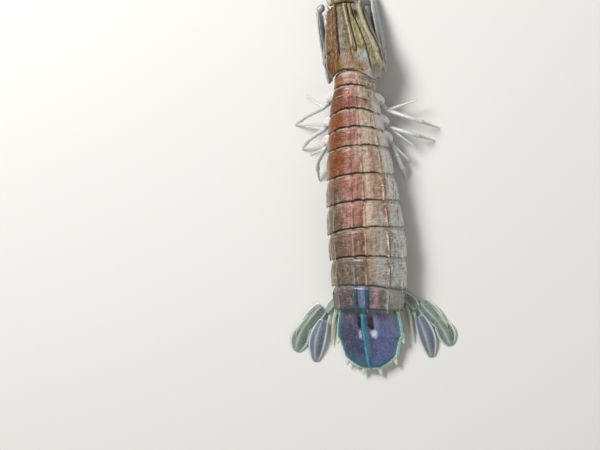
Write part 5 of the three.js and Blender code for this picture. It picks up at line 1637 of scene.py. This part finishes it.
# %% [markdown]
# The real teeth are drawn out of the plate's margin and are its hardest part; the denticles between them
# are blunt. A Boolean could join cones to the plate and would leave a hard seam. Their roots lie inside
# the plate instead, in the same mesh, and their finish fades from the rim's teal to a pale tip.

# %% Telson: its teeth
TEETH = ((0.46, 12.6, 3.4, 18), (0.77, 9.5, 3.9, 10), (0.93, 3.5, 3.8, 4))  # along, side, length, splay
DENTICLES = ((0.62, 0.72, 2), (0.865, 0.945, 6))  # from, to, and how many on each side
HIND_DENTICLES = (-2.3, -1.65, -1.0, -0.35, 0.35, 1.0, 1.65, 2.3)  # sideways, on the hind margin


def tooth_ridge(s, a):
    """A ridge along the upper side of a tooth: a bell of the angle round the ring."""
    return 1 + 0.3 * bump(np.sin(a), 0, 0.2) * (np.cos(a) > 0)


def plate_teeth():
    """Three teeth a side, each a flat cone with a ridge, short cones between them as denticles, and
    the spine in which the keel ends."""
    start, parts = TELSON_FRONT + GAP, []
    for side in (-1, 1):
        for along, x, length, splay in TEETH:
            u, turn = start + along * PLATE_LENGTH, math.radians(splay)
            base = body_point(u - 3.2, side * (x - 1.4), 0.1)
            tip = body_point(u + length * math.cos(turn), side * (x + math.sin(turn) * length), 0.15)
            parts.append(tube([base, base + (tip - base) * 0.55, tip], cone(0.3, 4.3, 0.75), cone(0.3, 1.5),
                              rows=26, sides=28, shape=tooth_ridge))
    for low, high, number in DENTICLES:
        for side in (-1, 1):
            for s in np.linspace(low, high, number):
                half, u = float(plate_half(s)), start + s * PLATE_LENGTH
                slope = float(plate_half(s + 0.01) - plate_half(s - 0.01)) / (0.02 * PLATE_LENGTH)
                out = np.array([1, -slope]) / math.hypot(1, slope)
                root = body_point(u - out[1] * 0.5, side * (half - out[0] * 0.6), -0.2)
                tip = body_point(u + out[1] * 0.8, side * (half + out[0] * 0.6), -0.1)
                parts.append(spine(root, tip, 1.0))
    for x in HIND_DENTICLES:
        root, tip = (body_point(start + s * PLATE_LENGTH, x, z) for s, z in ((0.97, 0.0), (1.03, 0.1)))
        parts.append(spine(root, tip, 0.75))
    grown = []
    for part in parts:
        along = part["marks"]["along"]
        grown.append(marked(part, side=0.9, ahead=0.9, ridge=0.2, kind=smoothstep(along, 0.5, 0.75),
                            margin=1.3 - 1.6 * along))
    root, tip = (body_point(start + PLATE_LENGTH * s, 0, z) for s, z in ((0.72, 3.1), (0.94, 3.4)))
    return [*grown, marked(spine(root, tip, 1.15), side=0, ahead=0.9, ridge=1, kind=0, margin=9)]


print("teeth, denticles and the keel's spine:", len(plate_teeth()))

# %% [markdown]
# The telson is the darkest part and carries the marks by which the species is known: two dark squares
# beside the keel and a light blue green rim. Behind each square lies a pale spot, a painted glint. A decal
# could hold them, but it would stretch over the arch. As bands of the share of the width and of the
# length they follow it.

# %% Telson: its finish


def telson_finish():
    """Slate fields with violet clouds, a turquoise keel, dark squares beside it, a teal rim and pale
    yellow green teeth."""
    f = Finish("telson_shell")
    cloud, fine, grain = f.cloud(3.0), f.cloud(1.1), f.cloud(0.4)
    plain, s = f.mark("side"), f.mark("ahead") + cloud * 0.03
    share = plain + fine * 0.03
    ridge, kind = f.mark("ridge"), f.mark("kind")
    margin = f.mark("margin") + fine * 0.5
    body, out = 1 - kind, share.size()
    streak = f.cloud(0.9, (1, 5, 1))
    wavy, along = plain + fine * 0.06, s + cloud * 0.05
    square = along.rise(0.10, 0.15) * along.rise(0.34, 0.28)
    colour = f.layers(
        "37465c",
        # the fields and their clouds
        (share.rise(0.0, 0.4) * 0.9, "626a9a"),
        (share.rise(-0.1, -0.4) * 0.6, "454b60"),
        (cloud.rise(0.0, 0.35) * 0.6, "6a5280"),
        (share.band(0.36, 0.16) * s.rise(0.55, 0.1) * 0.8, "8fa4d0"),
        (s.rise(0.30, 0.10) * out.band(0.45, 0.5) * 0.6, "77626e"),
        (share.band(0.62, 0.22) * s.band(0.12, 0.14) * 0.7, "4b3a63"),
        (streak.rise(0.05, 0.4) * 0.36, "8f97bc"),
        (streak.rise(-0.08, -0.4) * 0.5, "2c3448"),
        # the front, the hind part and the rim
        (s.rise(0.10, 0.02) * 0.7, "8b8f82"),
        (s.rise(0.12, 0.03) * out.rise(0.72, 0.9), "4f7a44"),
        (s.rise(0.65, 1.0) * 0.6, "4a86a2"),
        (margin.rise(2.2, 1.2) * 0.9, "2a7178"),
        (margin.rise(1.5, 1.1) * fine.rise(-0.1, 0.2) * 0.7, "5fb4b4"),
        (margin.rise(0.95, 0.6), "cfe8de"),
        # the dark squares, and the pale spots behind them, which are painted glints
        (wavy.rise(-0.02, 0.02) * wavy.rise(0.34, 0.26) * square, "24121e"),
        (wavy.rise(0.02, -0.02) * wavy.rise(-0.21, -0.16) * square * 1.3, "05070d"),
        # painted glints: two pale spots behind the dark squares, the brighter one on the right
        (wavy.band(0.27, 0.14) * along.band(0.40, 0.10) * 1.6, "dcdcea"),
        (wavy.band(-0.14, 0.08) * along.band(0.42, 0.10) * 1.3, "b4b6cc"),
        # the turquoise keel, with painted light on its left flank
        (plain.band(0.012, 0.12) * body * 1.8, "1f7a9c"),
        # painted light: lighter cyan along the keel's left flank, its lit side
        (plain.band(-0.03, 0.05) * streak.rise(-0.3, 0.1) * body * 0.9, "58b6bf"),
        (plain.band(0.012, 0.09) * s.rise(0.2, 0.06) * body, "5fc0c2"),
        (ridge.rise(0.75, 1.15) * plain.band(0, 0.08) * body * 0.3, "3f9cab"),
        (fine.rise(0.1, 0.4) * plain.band(0, 0.1) * body * 0.4, "0f4a5e"),
        # specks, and the pale teeth
        (f.dots(1.2, 0.15) * 0.4, "1d2433"),
        (kind, "dfe3c4"),
        (kind * grain.rise(0.0, 0.4) * 0.4, "9db59a"),
    )
    pits = f.dots(0.8, 0.2)
    normal = f.relief((1 - pits, 0.06), (grain, 0.07), (fine, 0.2))
    return f.surface(Base_Color=colour, Roughness=grain * 0.16 + 0.34, Normal=normal, Coat_Weight=0.6,
                     Coat_Roughness=0.1, Subsurface_Weight=0.08, Subsurface_Scale=0.002)


TELSON = telson_finish()
piece("tail_plate", [plate(), *plate_teeth()], TELSON, ["telson"])

# %% [markdown]
# The uropods make the rest of the fan. A root carries a long forked spine and two branches: the outer one
# has a row of movable spines and ends in a fringed paddle, the inner one is a single fringed blade. They
# could be flat cut-outs, but they are seen aslant, so they are ribbed blades like the antennal scales.

# %% Uropods


def fan_path(rows, side):
    """Points given as distance behind the carapace, sideways, and height above the floor."""
    return [floor_point(TELSON_FRONT + u, side * x, height) for u, x, height in rows]


FORK = (  # the long and the short prong of the root's spine
    ((-0.6, 14.2, 1.7), (7, 15.9, 1.5), (14.8, 16.6, 0.9)),
    ((0.2, 15.7, 1.6), (5, 17.6, 1.4), (9.8, 18.8, 0.9)),
)


def fan_root(side):
    """A short broad joint and the two prongs of its spine, which the mark 0.3 makes paler."""
    root = fan_path([(-3.4, 10.8, 2.6), (-0.6, 14.8, 1.6), (2.6, 17.9, 1.7)], side)
    parts = [tube(root, leaf(6.6, 5.2, 5.0), taper(2.2, 1.9), rows=40, sides=72, cap=0.07, square=1.1,
                  shape=ribbed(3))]
    for prong in FORK:
        parts.append(tube(fan_path(prong, side), cone(0.25, 1.9), cone(0.2, 1.2), rows=40, sides=24,
                          shape=rib(0.25, 0.2), mark=0.3))
    return parts


def fan_outer(side):
    """Two joints: a blade with nine movable spines along its outer edge, and a fringed paddle."""
    first = fan_path([(-0.4, 20.1, 1.8), (3.8, 24.2, 1.65), (7.8, 27.7, 1.4)], side)
    paddle = fan_path([(7.2, 27.2, 1.4), (11.4, 29.8, 0.9), (16.4, 31.6, 0.45)], side)
    wide = leaf(7.4, 4.6, 2.8)
    parts = [tube(first, leaf(6.6, 5.0, 5.2), taper(1.9, 1.3), rows=40, sides=96, cap=0.05, square=1.1,
                  shape=ribbed(4)),
             tube(paddle, wide, taper(1.3, 0.7), rows=50, sides=96, square=1.1, shape=ribbed(5)),
             fringe(paddle, wide, 0.5, span=(0.15, 0.9))]
    for k in range(9):
        s = 0.12 + k * 0.105
        x, u = 20.4 + 7.3 * s + 1.7, -0.4 + 8 * s
        tip = (u + 2.0 + 0.1 * k, x + 2.2 - 0.05 * k, 1.55)
        path = fan_path([(u - 1.2, x, 1.6), (u + 0.6, x + 1.3, 1.65), tip], side)
        parts.append(tube(path, cone(0.12, 0.8, 0.7), rows=12, sides=12, mark=0.3))
    return parts


def fan_inner(side):
    """One long blade, fringed all round, which its mark of 0.2 makes bluer."""
    blade = fan_path([(4.6, 19.4, 2.3), (12.6, 22.4, 1.8), (20.6, 23.8, 0.45)], side)
    wide = leaf(6.7, 3.6, 2.6)
    return [tube(blade, wide, taper(1.4, 0.7), rows=60, sides=96, square=1.1, shape=ribbed(5), mark=0.2),
            fringe(blade, wide, 0.6, count=70, span=(0.12, 0.9))]


for word, side in SIDES:
    piece(f"fan_root_{word}", fan_root(side), BLADE, [f"uropod_root_{word}"])
    piece(f"fan_outer_{word}", fan_outer(side), BLADE, [f"uropod_outer_{word}"])
    piece(f"fan_inner_{word}", fan_inner(side), BLADE, [f"uropod_inner_{word}"])

# %% [markdown]
# The floor is one wide pale surface. A sky image could light the scene. Two area lights are simpler to
# steer: a broad window from the upper left gives the wet glints, and a wide fill keeps the shadows soft.

# %% Floor and light
FLOOR_REACH = 2.0  # metres from its middle to an edge
floor_finish = Finish("pale_floor")
speckle = floor_finish.cloud(1.2) * 0.1 + 0.7
floor_finish.surface(Base_Color=ink("e4e2de"), Roughness=speckle)
corners = np.array([[-1, -1, 0], [1, -1, 0], [1, 1, 0], [-1, 1, 0]]) * FLOOR_REACH
floor_mesh = bpy.data.meshes.new("floor")
floor_mesh.from_pydata(corners.tolist(), [], [[0, 1, 2, 3]])
floor_mesh.materials.append(floor_finish.material)
floor = bpy.data.objects.new("floor", floor_mesh)
bpy.context.scene.collection.objects.link(floor)


def lamp(name, place, size, power):
    """A square area light at a place in metres, of a size in metres, turned to the animal."""
    light = bpy.data.lights.new(name, "AREA")
    light.size, light.energy = size, power
    made = bpy.data.objects.new(name, light)
    made.location = place
    made.rotation_euler = (-Vector(place)).to_track_quat("-Z", "Y").to_euler()
    bpy.context.scene.collection.objects.link(made)


lamp("window", (-0.34, 0.40, 0.56), 0.34, 6.6)
lamp("fill", (0.5, -0.3, 0.5), 0.6, 1.2)
world = bpy.data.worlds.new("studio")
world.use_nodes = True
world.node_tree.nodes["Background"].inputs["Color"].default_value = (1, 1, 1, 1)
world.node_tree.nodes["Background"].inputs["Strength"].default_value = 0.22
bpy.context.scene.world = world
bpy.context.scene.view_settings.view_transform = "Standard"

print("lamps:", len(bpy.data.lights))

# %% [markdown]
# The camera stands high above the animal's right side, with a long lens, and is rolled a little, so that
# the body lies nearly upright in the frame. It could be placed by eye. Worked out from the tilt, the turn
# and the millimetres in a pixel, it frames the animal as the photograph does.

# %% Camera
TILT, TURN = math.radians(20), math.radians(2.6)  # from straight above, and in the frame
PIXEL, PIXELS, SENSOR = 0.385, 600, 36  # mm of the animal in a pixel, pixels across, mm of the sensor
DISTANCE = 3.0  # metres
away = Vector((math.sin(TILT), 0, math.cos(TILT)))
flat = Vector((math.cos(TILT), 0, -math.sin(TILT)))
right = flat * math.cos(TURN) - Vector((0, 1, 0)) * math.sin(TURN)
upward = flat * math.sin(TURN) + Vector((0, 1, 0)) * math.cos(TURN)
middle = Vector((-25.05, -33.2, 8.0)) * MM  # what lies in the middle of the frame
lens = bpy.data.cameras.new("camera")
lens.sensor_width, lens.lens, lens.clip_end = SENSOR, SENSOR * DISTANCE / (PIXELS * PIXEL * MM), 10
camera = bpy.data.objects.new("camera", lens)
place = Matrix((right, upward, away)).transposed().to_4x4()
place.translation = middle + away * DISTANCE
camera.matrix_world = place
bpy.context.scene.collection.objects.link(camera)
bpy.context.scene.camera = camera
print("lens:", round(lens.lens), "mm at", DISTANCE, "m")
